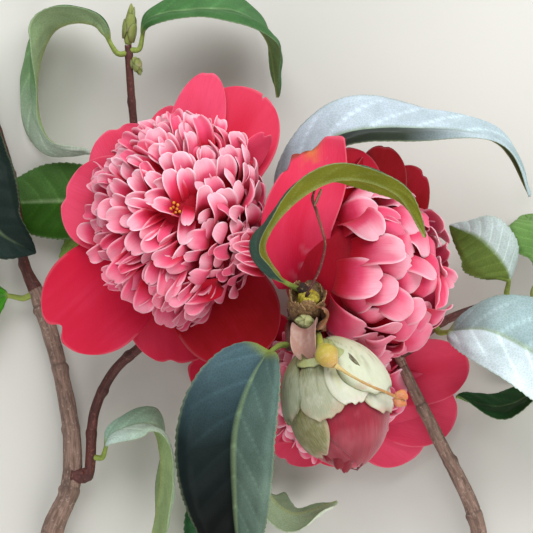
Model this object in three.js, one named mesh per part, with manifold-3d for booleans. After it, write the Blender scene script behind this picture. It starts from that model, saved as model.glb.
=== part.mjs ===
// A flowering camellia branch, cut at its foot and lying down.
// Millimetres, +Z up. +Y runs from the cut end to the leafy tips, +X to the right.

import * as THREE from "three";
import { mergeVertices } from "three/addons/utils/BufferGeometryUtils.js";
import Module from "manifold-3d";

const wasm = await Module();
wasm.setup();

// Middle of the branch's footprint, which becomes the origin
const MIDDLE_X = 5.4;
const MIDDLE_Y = -64.5;

// Clearances and facets
const SEAT_GAP = 0.3;
const STUB = 2.2;
const LIMB_SIDES = 8;
const LIMB_STEPS_PER_SPAN = 2;
// A limb's rings take a new direction across where the last one points this nearly along it
const NEARLY_ALONG = 0.2;

// Leaves
const LEAF_THICKNESS = 1.0;
const LEAF_SPANS = 8;
const PETIOLE_RADIUS = 1.1;
const PETIOLE_LENGTH = 8;
const PETIOLE_SHARE = 0.2;
const PETIOLE_FLATTENING = 0.8;
const MARGIN_TIP = 0.5;
// Lower values put a leaf's widest place nearer its stalk, and round its ends
const LEAF_BELLY = 0.9;
const LEAF_ROUNDNESS = 0.75;

// Blooms
const PETAL_THICKNESS = 1.3;
const PETAL_SPANS = 4;
// Shares of a guard petal: the claw's width, the place of its widest part, and how far its end closes
const PETAL_CLAW = 0.3;
const PETAL_WAIST = 0.65;
const PETAL_CLOSING = 0.8;
const PETAL_CUP = 0.12;
// A guard petal starts this far out, and its middle stands this much over a straight line
const GUARD_START = 2;
const GUARD_ARCH = 4;
const GUARD_MIDDLE_RISE = 0.35;
const GOLDEN_ANGLE = Math.PI * (3 - Math.sqrt(5));
const PETALOID_WIDTH = 8.6;
const PETALOID_THICKNESS = 2.2;
const PETALOID_LENGTH = 15;
// How far back a petaloid is widest, and how far down the dome they reach
const PETALOID_WIDEST = 0.38;
const PETALOID_SPREAD = 1.12;
const FLOWER_STALK_RADIUS = 1.6;
const NECK_RADIUS = 2.6;
const CALYX_RADIUS = 6;
const CALYX_DEPTH = 3.5;
const CALYX_FOOT = -1;
const CALYX_TOP = 3;
// The dome's core stays this far under the petaloids' tips
const CORE_INSET = 8;
const CORE_DROP = 7;
const CORE_SINK = 0.9;

const vector = (p) => new THREE.Vector3(p[0], p[1], p[2]);

// Routes: each point is x, y, z and the radius there
const LEFT = [
  [6, -232, 5.65, 5.6],
  [6, -212, 5.65, 5.5],
  [-8, -191, 7, 5.2],
  [-38, -171, 8.5, 4.8],
  [-66, -146, 9.5, 4.5],
  [-79, -119, 10, 4.3],
  [-80, -99.5, 10, 4.2],
  [-73.4, -83, 10, 3.7],
  [-72.6, -64.8, 10, 3.3],
  [-77.1, -38.6, 10, 2.9],
  [-84.6, -12.5, 10, 3.1],
  [-90.3, 0.6, 9, 1.9],
  [-95.2, 32.4, 8, 1.7],
  [-101.8, 54.9, 6, 1.5],
  [-105, 66, 5, 1.2],
];
const limbs = {};
limbs.left = limbCurve(LEFT);
limbs.right = limbCurve([
  ...seatOn("left", 1.7, [0.8, 0.35, 0.1], 4.5),
  [34, -180, 9, 4.4],
  [60, -158, 10, 4.0],
  [76, -131, 12, 3.5],
  [78.9, -98.5, 14, 3.0],
  [63.2, -63.2, 22, 2.4],
  [55.6, -48.3, 25, 2.1],
  [50, -36.6, 26, 1.9],
  [43, -21, 21, 1.8],
  [30, -11, 19, 1.7],
  [16.5, -9.5, 26, 1.7],
  [12, -12, 42, 1.7],
  [10.3, -15, 60, 1.8],
  [9.8, -15.5, 71, 2.2],
]);
limbs.upper = limbCurve([
  ...seatOn("left", 7.3, [1, 0.25, 0.3], 2.0),
  [-63.8, -53.4, 14, 1.9],
  [-56.1, -38.3, 18, 1.85],
  [-46.7, -29.7, 21, 1.8],
  [-37.4, -19.7, 23, 1.75],
  [-34.8, -5, 24, 1.7],
  [-39.1, 17.1, 25, 1.6],
  [-46.4, 37.2, 27, 1.5],
  [-49.8, 68.1, 31, 1.4],
  [-50.5, 80.8, 32, 1.3],
]);
limbs.side = limbCurve([
  ...seatOn("right", 8.3, [1, 0.4, -0.2], 1.6),
  [63.4, -21, 27, 1.6],
  [82, -14.1, 26, 1.5],
  [103.6, -12.3, 24, 1.3],
]);
limbs.rear = limbCurve([
  ...seatOn("right", 10.2, [0, -0.6, -0.8], 1.5),
  [28, -27, 8, 1.4],
  [25, -43, 3.2, 1.4],
  [14, -57, 3.5, 1.3],
  [-1.7, -67.5, 5, 1.2],
]);
limbs.knot = limbCurve([
  ...seatOn("right", 13.93, [0.7, 0.5, 0.5], 2.2),
  [14.5, -10.6, 78, 3.6],
  [16.8, -8.2, 81, 4.1],
  [18, -7, 82.6, 3.4],
]);
limbs.spur = limbCurve([
  ...seatOn("right", 13.2, [-0.25, -1, 0.2], 1.6),
  [8, -22, 71.5, 1.6],
  [8.3, -29, 73.5, 1.5],
]);
limbs.stalk = limbCurve([
  ...seatOn("right", 13.72, [0.55, -0.8, 0.3], 2.0),
  [14.6, -20.2, 78.8, 2.6],
  [16.6, -24.8, 79.4, 2.8],
]);

// A smooth line through the points of a route, with its radius at each place
function limbCurve(points) {
  const curve = new THREE.CatmullRomCurve3(points.map(vector), false, "centripetal");
  const radii = points.map((p) => p[3]);
  const last = points.length - 1;
  return {
    last,
    at: (place) => curve.getPoint(place / last),
    along: (place) => curve.getTangent(place / last),
    radius: (place) => {
      const i = Math.min(Math.floor(place), last - 1);
      return THREE.MathUtils.lerp(radii[i], radii[i + 1], place - i);
    },
  };
}

// The first two points of a branch that leaves a limb at a place, in a direction
function seatOn(name, place, direction, radius) {
  const limb = limbs[name];
  const along = limb.along(place);
  const out = vector(direction).addScaledVector(along, -vector(direction).dot(along)).normalize();
  const foot = limb.at(place).addScaledVector(out, limb.radius(place) + SEAT_GAP);
  const next = foot.clone().addScaledVector(out, STUB);
  return [
    [...foot.toArray(), radius],
    [...next.toArray(), radius],
  ];
}

// A closed solid from a three.js geometry
function solid(geometry) {
  const bare = new THREE.BufferGeometry();
  bare.setAttribute("position", geometry.getAttribute("position"));
  bare.setIndex(geometry.index);
  const merged = mergeVertices(bare, 1e-4);
  const mesh = new wasm.Mesh({
    numProp: 3,
    vertProperties: merged.attributes.position.array,
    triVerts: new Uint32Array(merged.index.array),
  });
  return new wasm.Manifold(mesh);
}

function geometryOf(body) {
  const mesh = body.getMesh();
  const positions = new Float32Array(mesh.numVert * 3);
  for (let i = 0; i < mesh.numVert; i += 1) {
    positions.set(mesh.vertProperties.subarray(i * mesh.numProp, i * mesh.numProp + 3), i * 3);
  }
  const geometry = new THREE.BufferGeometry();
  geometry.setAttribute("position", new THREE.BufferAttribute(positions, 3));
  geometry.setIndex(new THREE.BufferAttribute(mesh.triVerts, 1));
  return geometry;
}

// Moves every vertex of a geometry by a rule
function reshape(geometry, rule) {
  const position = geometry.getAttribute("position");
  const p = new THREE.Vector3();
  for (let i = 0; i < position.count; i += 1) {
    p.fromBufferAttribute(position, i);
    rule(p);
    position.setXYZ(i, p.x, p.y, p.z);
  }
  return geometry;
}

// A tapering round limb from one place on its line to another, with flat ends
function limb(line, from, to) {
  const steps = Math.max(1, Math.round((to - from) * LIMB_STEPS_PER_SPAN));
  const rings = [];
  let across = new THREE.Vector3(0, 0, 1);
  for (let k = 0; k <= steps; k += 1) {
    const place = THREE.MathUtils.lerp(from, to, k / steps);
    const along = line.along(place);
    across = across.clone().addScaledVector(along, -across.dot(along));
    if (across.length() < NEARLY_ALONG) {
      across = new THREE.Vector3(1, 0, 0).addScaledVector(along, -along.x);
    }
    across.normalize();
    const beside = across.clone().cross(along);
    rings.push({ centre: line.at(place), across, beside, radius: line.radius(place) });
  }
  const tube = new THREE.CylinderGeometry(1, 1, 1, LIMB_SIDES, steps);
  return reshape(tube, (p) => {
    const ring = rings[Math.round((p.y + 0.5) * steps)];
    const x = p.x * ring.radius;
    const z = p.z * ring.radius;
    p.copy(ring.centre).addScaledVector(ring.across, x).addScaledVector(ring.beside, z);
  });
}

// A thin blade along a midrib: rings lists where it is and how wide and thick it is there
function blade({ points, side, rings, fold = 0, cup = 0, columns = 4 }) {
  const midrib = new THREE.CatmullRomCurve3(points.map(vector), false, "centripetal");
  const [first, last] = side.map(vector);
  const frames = rings.map(({ at, half, thick }) => {
    const along = midrib.getTangentAt(at);
    const across = first.clone().lerp(last, at);
    across.addScaledVector(along, -across.dot(along)).normalize();
    const up = across.clone().cross(along);
    return { centre: midrib.getPointAt(at), across, up, half, thick };
  });
  const spans = rings.length - 1;
  const slab = new THREE.BoxGeometry(2, 1, 1, columns, spans, 1);
  return reshape(slab, (p) => {
    const frame = frames[Math.round((p.y + 0.5) * spans)];
    const out = Math.abs(p.x);
    const over = p.x * frame.half * Math.cos(fold);
    const lift = frame.half * (out * Math.sin(fold) - cup * out * out) + p.z * frame.thick;
    p.copy(frame.centre).addScaledVector(frame.across, over).addScaledVector(frame.up, lift);
  });
}

// Rings of a stalked, pointed leaf
function leafRings(width, petiole, belly) {
  const rings = [
    { at: 0, half: PETIOLE_RADIUS, thick: 2 * PETIOLE_RADIUS },
    { at: petiole, half: PETIOLE_RADIUS, thick: 2 * PETIOLE_RADIUS * PETIOLE_FLATTENING },
  ];
  for (let k = 1; k <= LEAF_SPANS; k += 1) {
    const s = k / LEAF_SPANS;
    const half = (width / 2) * Math.pow(Math.sin(Math.PI * Math.pow(s, belly)), LEAF_ROUNDNESS);
    rings.push({
      at: petiole + (1 - petiole) * s,
      half: Math.max(MARGIN_TIP, half || 0),
      thick: LEAF_THICKNESS,
    });
  }
  return rings;
}

// Rings of a broad petal with a narrow claw and a round end
function petalRings(width) {
  const rings = [];
  for (let k = 0; k <= PETAL_SPANS; k += 1) {
    const s = k / PETAL_SPANS;
    const rise = PETAL_CLAW + (1 - PETAL_CLAW) * Math.sin((Math.PI / 2) * Math.min(s / PETAL_WAIST, 1));
    const past = Math.max(0, (s - PETAL_WAIST) / (1 - PETAL_WAIST));
    const end = Math.sqrt(1 - PETAL_CLOSING * past * past);
    rings.push({ at: s, half: (width / 2) * rise * end, thick: PETAL_THICKNESS });
  }
  return rings;
}

// Leaves: limb and place that carry it, first direction, midrib after the seat,
// the blade's right-hand direction at its base and its tip, width, fold, and belly
// where the leaf is widest nearer its stalk than most are
const LEAVES = {
  upper_left_leaf: {
    on: ["upper", 9.75],
    out: [-1, 0.2, 0.1],
    midrib: [
      [-62.2, 88.6, 33],
      [-78.6, 87.7, 22],
      [-86, 68.2, 14.5],
      [-81.3, 47, 13],
      [-65, 42, 16],
    ],
    side: [
      [-0.25, -0.15, -0.95],
      [-0.25, -0.15, -0.95],
    ],
    width: 33,
    fold: 0.25,
  },
  upper_right_leaf: {
    on: ["upper", 9.85],
    out: [1, 0.2, 0.1],
    midrib: [
      [-43, 89.5, 35],
      [-29.5, 93, 35],
      [-9.6, 92.4, 30],
      [0.5, 83.5, 21],
      [4.2, 63, 14],
    ],
    side: [
      [0.1, -0.45, 0.9],
      [0.25, -0.35, 0.9],
    ],
    width: 34,
    fold: 0.15,
  },
  left_green_leaf: {
    on: ["upper", 7.6],
    out: [-1, 0, -0.2],
    midrib: [
      [-56, 24.5, 18],
      [-78, 24.5, 8],
      [-93, 24, 2.8],
      [-106, 23, 1.2],
    ],
    side: [
      [0, 0.86, -0.5],
      [0, 0.99, -0.05],
    ],
    width: 30,
    fold: 0.1,
  },
  left_pale_leaf: {
    on: ["upper", 7.0],
    out: [-1, 0, -0.3],
    midrib: [
      [-50, 12, 14],
      [-62, 4, 9],
      [-77, -11, 10],
    ],
    side: [
      [-0.53, 0.72, -0.04],
      [-0.53, 0.72, -0.04],
    ],
    width: 30,
    fold: 0.1,
  },
  left_dark_leaf: {
    on: ["left", 13.4],
    out: [-0.4, 0.2, 1],
    midrib: [
      [-108, 59, 20],
      [-110, 38, 29],
      [-99, 14, 30],
      [-85, 5, 24],
    ],
    side: [
      [-0.9, -0.28, 0.28],
      [-0.8, -0.5, 0.1],
    ],
    width: 34,
    fold: -0.15,
  },
  left_small_leaf: {
    on: ["left", 10.2],
    out: [-1, 0, 0.1],
    midrib: [
      [-98, -11, 12],
      [-112, -17, 10],
      [-124, -25, 4],
    ],
    side: [
      [-0.3, 0.9, -0.3],
      [-0.3, 0.9, -0.3],
    ],
    width: 20,
    fold: 0.15,
  },
  lower_left_leaf: {
    on: ["upper", 1.4],
    out: [1, -0.6, 0.3],
    midrib: [
      [-57, -62, 20],
      [-42, -58.5, 22],
      [-38, -74, 20],
      [-41, -95, 16],
      [-46, -117, 10],
    ],
    side: [
      [0.2, -0.45, 0.87],
      [0.2, -0.35, 0.9],
    ],
    width: 30,
    fold: 0.15,
  },
  lower_dark_leaf: {
    on: ["rear", 4.8],
    out: [0, 0, 1],
    midrib: [
      [-11, -78, 12],
      [-19, -96, 11],
      [-24, -119, 6],
    ],
    side: [
      [-0.9, 0.35, -0.1],
      [-0.95, 0.2, -0.1],
    ],
    width: 25,
    fold: 0.15,
  },
  lower_pale_leaf: {
    on: ["rear", 4.9],
    out: [0.6, -0.8, 0.2],
    midrib: [
      [0, -84, 14],
      [9.5, -92.2, 15],
      [26.2, -87.6, 14],
    ],
    side: [
      [0.3, 0.25, -0.92],
      [0.3, 0.25, -0.92],
    ],
    width: 27,
    fold: 0.1,
  },
  front_dark_leaf: {
    on: ["spur", 2.8],
    out: [-0.8, 0.1, 0.6],
    midrib: [
      [-1.6, -33, 81],
      [-9.8, -53, 82],
      [-10.7, -81.7, 71],
      [-8.4, -115.7, 54],
    ],
    side: [
      [-1, 0.1, -0.05],
      [-1, 0, -0.1],
    ],
    width: 44,
    fold: 0.5,
    belly: 0.66,
  },
  front_curled_leaf: {
    on: ["knot", 2.3],
    out: [-0.7, 0.5, 0.4],
    midrib: [
      [3.5, -3, 88],
      [-1.5, 7.4, 96],
      [8, 22.6, 103],
      [24.9, 32, 106],
      [43.5, 26.6, 106],
      [53.5, 10, 103],
    ],
    side: [
      [0.25, 0.2, 0.95],
      [0.1, 0.2, 0.97],
    ],
    width: 23,
    fold: 0.2,
  },
  top_glossy_leaf: {
    on: ["right", 11.4],
    out: [-0.3, 1, 0.4],
    midrib: [
      [11.5, 10, 36],
      [10, 30, 42],
      [24, 46, 52],
      [53, 48.5, 66],
      [81, 43.5, 69],
      [93, 25, 65],
    ],
    side: [
      [0.5, -0.4, 0.75],
      [-0.1, -0.33, 0.94],
    ],
    width: 38,
    fold: 0.2,
  },
  right_glossy_leaf: {
    on: ["side", 1.9],
    out: [0.4, -0.4, 0.8],
    midrib: [
      [79.8, -23, 48],
      [105, -37, 48],
      [137, -62, 38],
    ],
    side: [
      [-0.39, -0.76, 0.48],
      [-0.39, -0.76, 0.48],
    ],
    width: 40,
    fold: 0.25,
  },
  right_ridge_leaf: {
    on: ["side", 3.3],
    out: [-0.2, 1, 0.5],
    midrib: [
      [88, -2, 33],
      [78, 10, 36],
      [67, 15, 30],
    ],
    side: [
      [0.6, 0.75, -0.2],
      [0.6, 0.75, -0.2],
    ],
    width: 25,
    fold: -0.3,
  },
  right_far_leaf: {
    on: ["side", 3.75],
    out: [0.2, 1, 0.3],
    midrib: [
      [103, 2, 28],
      [100, 14, 18],
      [97, 19, 3],
    ],
    side: [
      [0.95, 0.2, -0.1],
      [0.95, 0.2, -0.1],
    ],
    width: 24,
    fold: 0.15,
  },
  right_low_leaf: {
    on: ["side", 3.75],
    out: [0.3, -1, -0.2],
    midrib: [
      [110, -28, 18],
      [103, -44, 13],
      [88, -52, 15],
      [70, -48, 23],
    ],
    side: [
      [0.35, 0.2, -0.9],
      [0.1, 0.4, -0.9],
    ],
    width: 26,
    fold: 0.15,
  },
};

function leaf(name) {
  const { on, out, midrib, side, width, fold, belly = LEAF_BELLY } = LEAVES[name];
  const points = [...seatOn(...on, out, PETIOLE_RADIUS), ...midrib];
  const length = new THREE.CatmullRomCurve3(points.map(vector), false, "centripetal").getLength();
  const petiole = Math.min(PETIOLE_SHARE, PETIOLE_LENGTH / length);
  return blade({ points, side, rings: leafRings(width, petiole, belly), fold });
}

// Blooms: seat, base of the flower, its axis, a direction for azimuth 0, dome and petals.
// The dome is stretched and moved towards azimuth 90. A guard petal is azimuth in degrees,
// length, width, the height of its end and how many degrees its blade turns about itself.
const BLOOMS = {
  left_bloom: {
    on: ["upper", 6.6],
    out: [0.1, 0, 1],
    base: [-34.6, 11.3, 46],
    axis: [-0.02, 0.1, 1],
    zero: [1, 0, 0],
    radius: 33,
    height: 43,
    stretch: 1.12,
    move: 3.5,
    petaloids: 74,
    guards: [
      [77, 60, 22, 6, 0],
      [58, 61, 34, 2, 0],
      [121, 44, 30, 4, 0],
      [154, 43, 34, 6, 0],
      [222, 54, 42, -1, 0],
      [273, 46, 34, -3, 0],
      [311, 54, 44, -3, 0],
      [0, 38, 28, 0, 0],
    ],
  },
  right_bloom: {
    on: ["right", 10.9],
    out: [0.9, 0.5, 0.4],
    base: [25.4, -1.2, 53],
    axis: [0.95, -0.1, 0.28],
    zero: [0, 1, 0],
    radius: 34,
    height: 40,
    stretch: 1,
    move: 0,
    petaloids: 74,
    guards: [
      [34, 51, 36, -9, 55],
      [8, 48, 28, 15, 40],
      [-18, 47, 28, 25, 35],
      [75, 30, 28, -14, 0],
      [184, 44, 22, 18, 0],
      [150, 26, 22, 8, 0],
      [278, 40, 36, 0, 0],
      [318, 42, 34, -2, 0],
    ],
  },
  rear_bloom: {
    on: ["rear", 3],
    out: [0, 0, 1],
    base: [25, -43, 12],
    axis: [-0.06, -0.12, 0.99],
    zero: [1, 0, 0],
    radius: 25.5,
    height: 31,
    stretch: 1,
    move: 0,
    petaloids: 46,
    guards: [
      [8, 51, 25, 0, 0],
      [-18, 48, 28, -3, 0],
      [-40, 42, 28, 0, 0],
      [172, 55, 34, 0, 0],
      [150, 44, 26, 2, 0],
      [206, 31, 26, 5, 0],
      [276, 30, 26, 5, 0],
      [238, 29, 22, 6, 0],
    ],
  },
};

// A petaloid is a scale that stands on the dome: root, direction, its broad way and its length
function petaloid(tip, direction, broad, length) {
  const thin = broad.clone().cross(direction);
  return reshape(new THREE.OctahedronGeometry(1), (p) => {
    const back = p.y > 0 ? 0 : p.y < 0 ? length : length * PETALOID_WIDEST;
    const over = (p.x * PETALOID_WIDTH) / 2;
    const lift = (p.z * PETALOID_THICKNESS) / 2;
    p.copy(tip).addScaledVector(direction, -back).addScaledVector(broad, over).addScaledVector(thin, lift);
  });
}

function bloom(name) {
  const { on, out, base, axis, zero, radius, height, stretch, move, petaloids, guards } = BLOOMS[name];
  const foot = vector(base);
  const up = vector(axis).normalize();
  const first = vector(zero).addScaledVector(up, -vector(zero).dot(up)).normalize();
  const second = up.clone().cross(first);
  const place = (azimuth, reach, rise) => {
    const flat = first.clone().multiplyScalar(Math.cos(azimuth)).addScaledVector(second, Math.sin(azimuth));
    return foot.clone().addScaledVector(flat, reach).addScaledVector(up, rise);
  };

  const stalk = limbCurve([
    ...seatOn(...on, out, FLOWER_STALK_RADIUS),
    [...place(0, 0, -CALYX_DEPTH).toArray(), NECK_RADIUS],
    [...place(0, 0, CALYX_FOOT).toArray(), CALYX_RADIUS],
    [...place(0, 0, CALYX_TOP).toArray(), CALYX_RADIUS],
  ]);
  const bodies = [solid(limb(stalk, 0, stalk.last))];

  // The dome's core is an ellipsoid with its lowest point just under the calyx
  const half = (height - CORE_DROP) / 2;
  const core = new THREE.SphereGeometry(1, 12, 8);
  const inner = radius - CORE_INSET;
  reshape(core, (p) => {
    const { x, y, z } = p;
    p.copy(foot).addScaledVector(first, x * inner).addScaledVector(up, (y + CORE_SINK) * half);
    p.addScaledVector(second, move - z * inner * stretch);
  });
  bodies.push(solid(core));

  for (const [degrees, length, width, rise, turn] of guards) {
    const azimuth = THREE.MathUtils.degToRad(degrees);
    const reach = Math.sqrt(length * length - rise * rise);
    const points = [
      place(azimuth, GUARD_START, 0).toArray(),
      place(azimuth, reach / 2, rise * GUARD_MIDDLE_RISE + GUARD_ARCH).toArray(),
      place(azimuth, reach, rise).toArray(),
    ];
    const twist = THREE.MathUtils.degToRad(turn);
    const across = place(azimuth - Math.PI / 2, Math.cos(twist), Math.sin(twist)).sub(foot).toArray();
    const side = [across, across];
    bodies.push(solid(blade({ points, side, rings: petalRings(width), cup: -PETAL_CUP, columns: 2 })));
  }

  const centre = place(0, 0, height - radius).addScaledVector(second, move);
  for (let k = 0; k < petaloids; k += 1) {
    const slope = Math.acos(1 - (PETALOID_SPREAD * (k + 0.5)) / petaloids);
    const azimuth = k * GOLDEN_ANGLE;
    const direction = place(azimuth, Math.sin(slope), Math.cos(slope)).sub(foot);
    const tip = centre.clone().addScaledVector(direction, radius);
    tip.addScaledVector(second, direction.dot(second) * radius * (stretch - 1));
    const broad = place(azimuth + Math.PI / 2, 1, 0).sub(foot);
    bodies.push(solid(petaloid(tip, direction, broad, PETALOID_LENGTH)));
  }
  return bodies;
}

// The fat flower bud, with overlapping sepals that stand out of it
const BUD_FOOT = [16.8, -25.3, 79.5];
const BUD_TIP = [35.8, -68.7, 82];
const BUD_PROFILE = [
  [0, 0],
  [2.6, 0],
  [7, 3],
  [12.2, 9],
  [17.4, 18],
  [17.8, 27],
  [15.5, 35],
  [9, 42.5],
  [3, 46],
  [0, 46.6],
];
// Each sepal is its azimuth in degrees, how far down the bud it lies, and its half length
const BUD_SEPALS = [
  [20, 22, 13],
  [80, 25, 13],
  [140, 22, 13],
  [200, 24, 13],
  [260, 23, 13],
  [320, 25, 13],
];
const SEPAL_HALF_WIDTH = 9;
const SEPAL_HALF_DEPTH = 4;
const SEPAL_OFFSET = 14.4;

function flowerBud() {
  const foot = vector(BUD_FOOT);
  const along = vector(BUD_TIP).sub(foot).normalize();
  const turn = new THREE.Quaternion().setFromUnitVectors(new THREE.Vector3(0, 1, 0), along);
  const profile = BUD_PROFILE.map(([r, y]) => new THREE.Vector2(r, y));
  const place = (geometry) => geometry.applyQuaternion(turn).translate(foot.x, foot.y, foot.z);
  const bodies = [solid(place(new THREE.LatheGeometry(profile, 12)))];
  for (const [degrees, down, half] of BUD_SEPALS) {
    const scale = new THREE.SphereGeometry(1, 8, 6);
    scale.scale(SEPAL_HALF_WIDTH, half, SEPAL_HALF_DEPTH);
    scale.translate(0, down, SEPAL_OFFSET);
    scale.rotateY(THREE.MathUtils.degToRad(degrees));
    bodies.push(solid(place(scale)));
  }
  return bodies;
}

// Small pieces that are limbs in shape
const SMALL_LIMBS = {
  top_bud: [
    [-50.55, 81.2, 32.1, 1.0],
    [-50.3, 85.5, 32.8, 2.1],
    [-49.8, 90.5, 33.4, 1.9],
    [-49, 96, 34, 0.5],
  ],
  side_bud: [
    ...seatOn("upper", 9.45, [1, 0, 0.2], 0.9),
    [-45.2, 74.5, 32.8, 1.5],
    [-45.8, 69.5, 33, 0.5],
  ],
  small_bud: [
    ...seatOn("stalk", 1.8, [-0.1, 0.2, 1], 1.4),
    [14.8, -19.3, 85.3, 2.3],
    [12.2, -18.7, 85.8, 2.1],
    [10.2, -18.4, 85.8, 0.6],
  ],
  dry_style: [
    ...seatOn("knot", 3.4, [0.2, 0.3, 1], 0.6),
    [19, 5.6, 90, 0.5],
    [15.8, 24.5, 97, 0.6],
  ],
  spent_ovary: [
    ...seatOn("stalk", 2.75, [0.4, -0.2, 1], 1.3),
    [18.4, -27.8, 94.5, 1.5],
    [20.5, -32, 100, 3.3],
    [23.7, -35, 101, 1.1],
    [31.7, -40.7, 101.5, 0.6],
    [45, -46, 93, 0.6],
  ],
};

const SMALL_BLADES = {
  brown_bract: {
    points: [...seatOn("stalk", 2.35, [1, 0.5, 0.2], 1), [20.8, -18, 82], [22.2, -13, 85]],
    side: [
      [1, -0.3, -0.4],
      [1, -0.3, -0.4],
    ],
    width: 8,
  },
  papery_bract: {
    points: [...seatOn("stalk", 2.65, [-0.7, -0.2, 1], 1), [12.2, -25.5, 90], [10.8, -30.5, 93]],
    side: [
      [-1, 0.2, -0.4],
      [-1, 0.2, -0.4],
    ],
    width: 9,
  },
};

// A bract's outline: places along it and its share of the full width there
const BRACT_OUTLINE = [
  [0, 0.25],
  [0.3, 0.75],
  [0.65, 1],
  [1, 0.3],
];
const BRACT_THICKNESS = 0.8;
const BRACT_CUP = 0.2;

function bract({ points, side, width }) {
  const rings = BRACT_OUTLINE.map(([at, share]) => ({
    at,
    half: (width / 2) * share,
    thick: BRACT_THICKNESS,
  }));
  return blade({ points, side, rings, columns: 2, cup: -BRACT_CUP });
}

// Materials
const paint = (color, roughness) => new THREE.MeshStandardMaterial({ color, roughness, metalness: 0 });
const GREY_BARK = paint(0x8a7460, 0.85);
const RED_BARK = paint(0x5c2a22, 0.6);
const DARK_LEAF = paint(0x1c3b2c, 0.3);
const GREEN_LEAF = paint(0x3d6b2c, 0.35);
const PALE_LEAF = paint(0x9dbb8e, 0.4);
const ROSE_PETAL = paint(0xe0566f, 0.55);
const BUD_GREEN = paint(0xc9cfa0, 0.6);
const DRY_BROWN = paint(0x7d5a3a, 0.8);

const branch = new THREE.Group();
branch.position.set(-MIDDLE_X, -MIDDLE_Y, 0);

function add(name, geometry, material) {
  const mesh = new THREE.Mesh(geometry, material);
  mesh.name = name;
  branch.add(mesh);
}

// Stretches of one limb lie end to end, a seat gap apart
const STRETCHES = [
  ["main_stem", "left", 0, 2, GREY_BARK],
  ["left_stem_lower", "left", 2, 6, GREY_BARK],
  ["left_stem_upper", "left", 6, 10.3, GREY_BARK],
  ["left_shoot", "left", 10.3, 14, RED_BARK],
  ["right_stem_lower", "right", 0, 5, GREY_BARK],
  ["right_stem_upper", "right", 5, 8, GREY_BARK],
  ["centre_twig", "right", 8, 14, GREY_BARK],
  ["upper_twig_lower", "upper", 0, 5, RED_BARK],
  ["upper_twig_upper", "upper", 5, 10, RED_BARK],
  ["right_twig", "side", 0, 4, RED_BARK],
  ["rear_twig", "rear", 0, 5, RED_BARK],
  ["calyx_knot", "knot", 0, 4, DRY_BROWN],
  ["bud_spur", "spur", 0, 3, RED_BARK],
  ["bud_stalk", "stalk", 0, 3, DRY_BROWN],
];
for (const [name, line, from, to, material] of STRETCHES) {
  const curve = limbs[line];
  const span = curve.at(Math.min(from + 0.1, to)).distanceTo(curve.at(from)) / 0.1;
  const start = from > 0 ? from + SEAT_GAP / span : from;
  add(name, limb(curve, start, to), material);
}

const LEAF_PAINT = {
  left_dark_leaf: DARK_LEAF,
  lower_dark_leaf: DARK_LEAF,
  front_dark_leaf: DARK_LEAF,
  top_glossy_leaf: DARK_LEAF,
  right_low_leaf: DARK_LEAF,
  upper_left_leaf: PALE_LEAF,
  lower_left_leaf: PALE_LEAF,
  lower_pale_leaf: PALE_LEAF,
};
for (const name of Object.keys(LEAVES)) {
  add(name, leaf(name), LEAF_PAINT[name] || GREEN_LEAF);
}

for (const name of Object.keys(BLOOMS)) {
  add(name, geometryOf(wasm.Manifold.union(bloom(name))), ROSE_PETAL);
}
add("flower_bud", geometryOf(wasm.Manifold.union(flowerBud())), BUD_GREEN);

for (const [name, points] of Object.entries(SMALL_LIMBS)) {
  const line = limbCurve(points);
  add(name, limb(line, 0, line.last), name === "dry_style" ? DRY_BROWN : BUD_GREEN);
}
for (const [name, sizes] of Object.entries(SMALL_BLADES)) {
  add(name, bract(sizes), DRY_BROWN);
}

export default branch;
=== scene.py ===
"""A flowering camellia branch, cut at its foot and lying down, with its bark, leaves, blooms and buds."""

import math

import bpy
import numpy as np
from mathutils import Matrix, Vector


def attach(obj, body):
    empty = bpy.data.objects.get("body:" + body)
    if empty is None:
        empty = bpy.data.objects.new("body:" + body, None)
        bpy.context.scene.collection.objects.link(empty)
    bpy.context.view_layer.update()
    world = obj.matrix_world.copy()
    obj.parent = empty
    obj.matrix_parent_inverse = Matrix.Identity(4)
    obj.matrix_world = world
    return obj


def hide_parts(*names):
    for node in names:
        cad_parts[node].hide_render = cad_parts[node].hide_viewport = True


bl_info = {
    "name": "Camellia branch",
    "version": (1, 0, 0),
    "blender": (4, 5, 0),
    "location": "View3D > Sidebar > Branch",
    "description": "Dresses a cut camellia branch with bark, leaves, blooms and buds",
    "category": "Object",
}

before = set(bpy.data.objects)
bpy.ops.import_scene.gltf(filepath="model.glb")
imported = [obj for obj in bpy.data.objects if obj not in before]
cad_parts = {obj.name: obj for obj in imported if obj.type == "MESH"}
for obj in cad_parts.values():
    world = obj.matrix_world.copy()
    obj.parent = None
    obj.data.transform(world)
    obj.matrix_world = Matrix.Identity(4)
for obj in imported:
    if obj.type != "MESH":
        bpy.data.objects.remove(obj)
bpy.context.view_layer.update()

# Lengths in the tables are millimetres, measured from a point under the middle of the blooms
MM = 0.001
MIDDLE = np.array([5.4, -64.5, 0.0])

# Clearances that the solids keep between a branch and the limb that carries it
SEAT_GAP = 0.3
STUB = 2.2

GOLDEN_ANGLE = math.pi * (3 - math.sqrt(5))

# Below this height a form that lies on the floor is pressed flat
RESTING = 1.0

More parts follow.
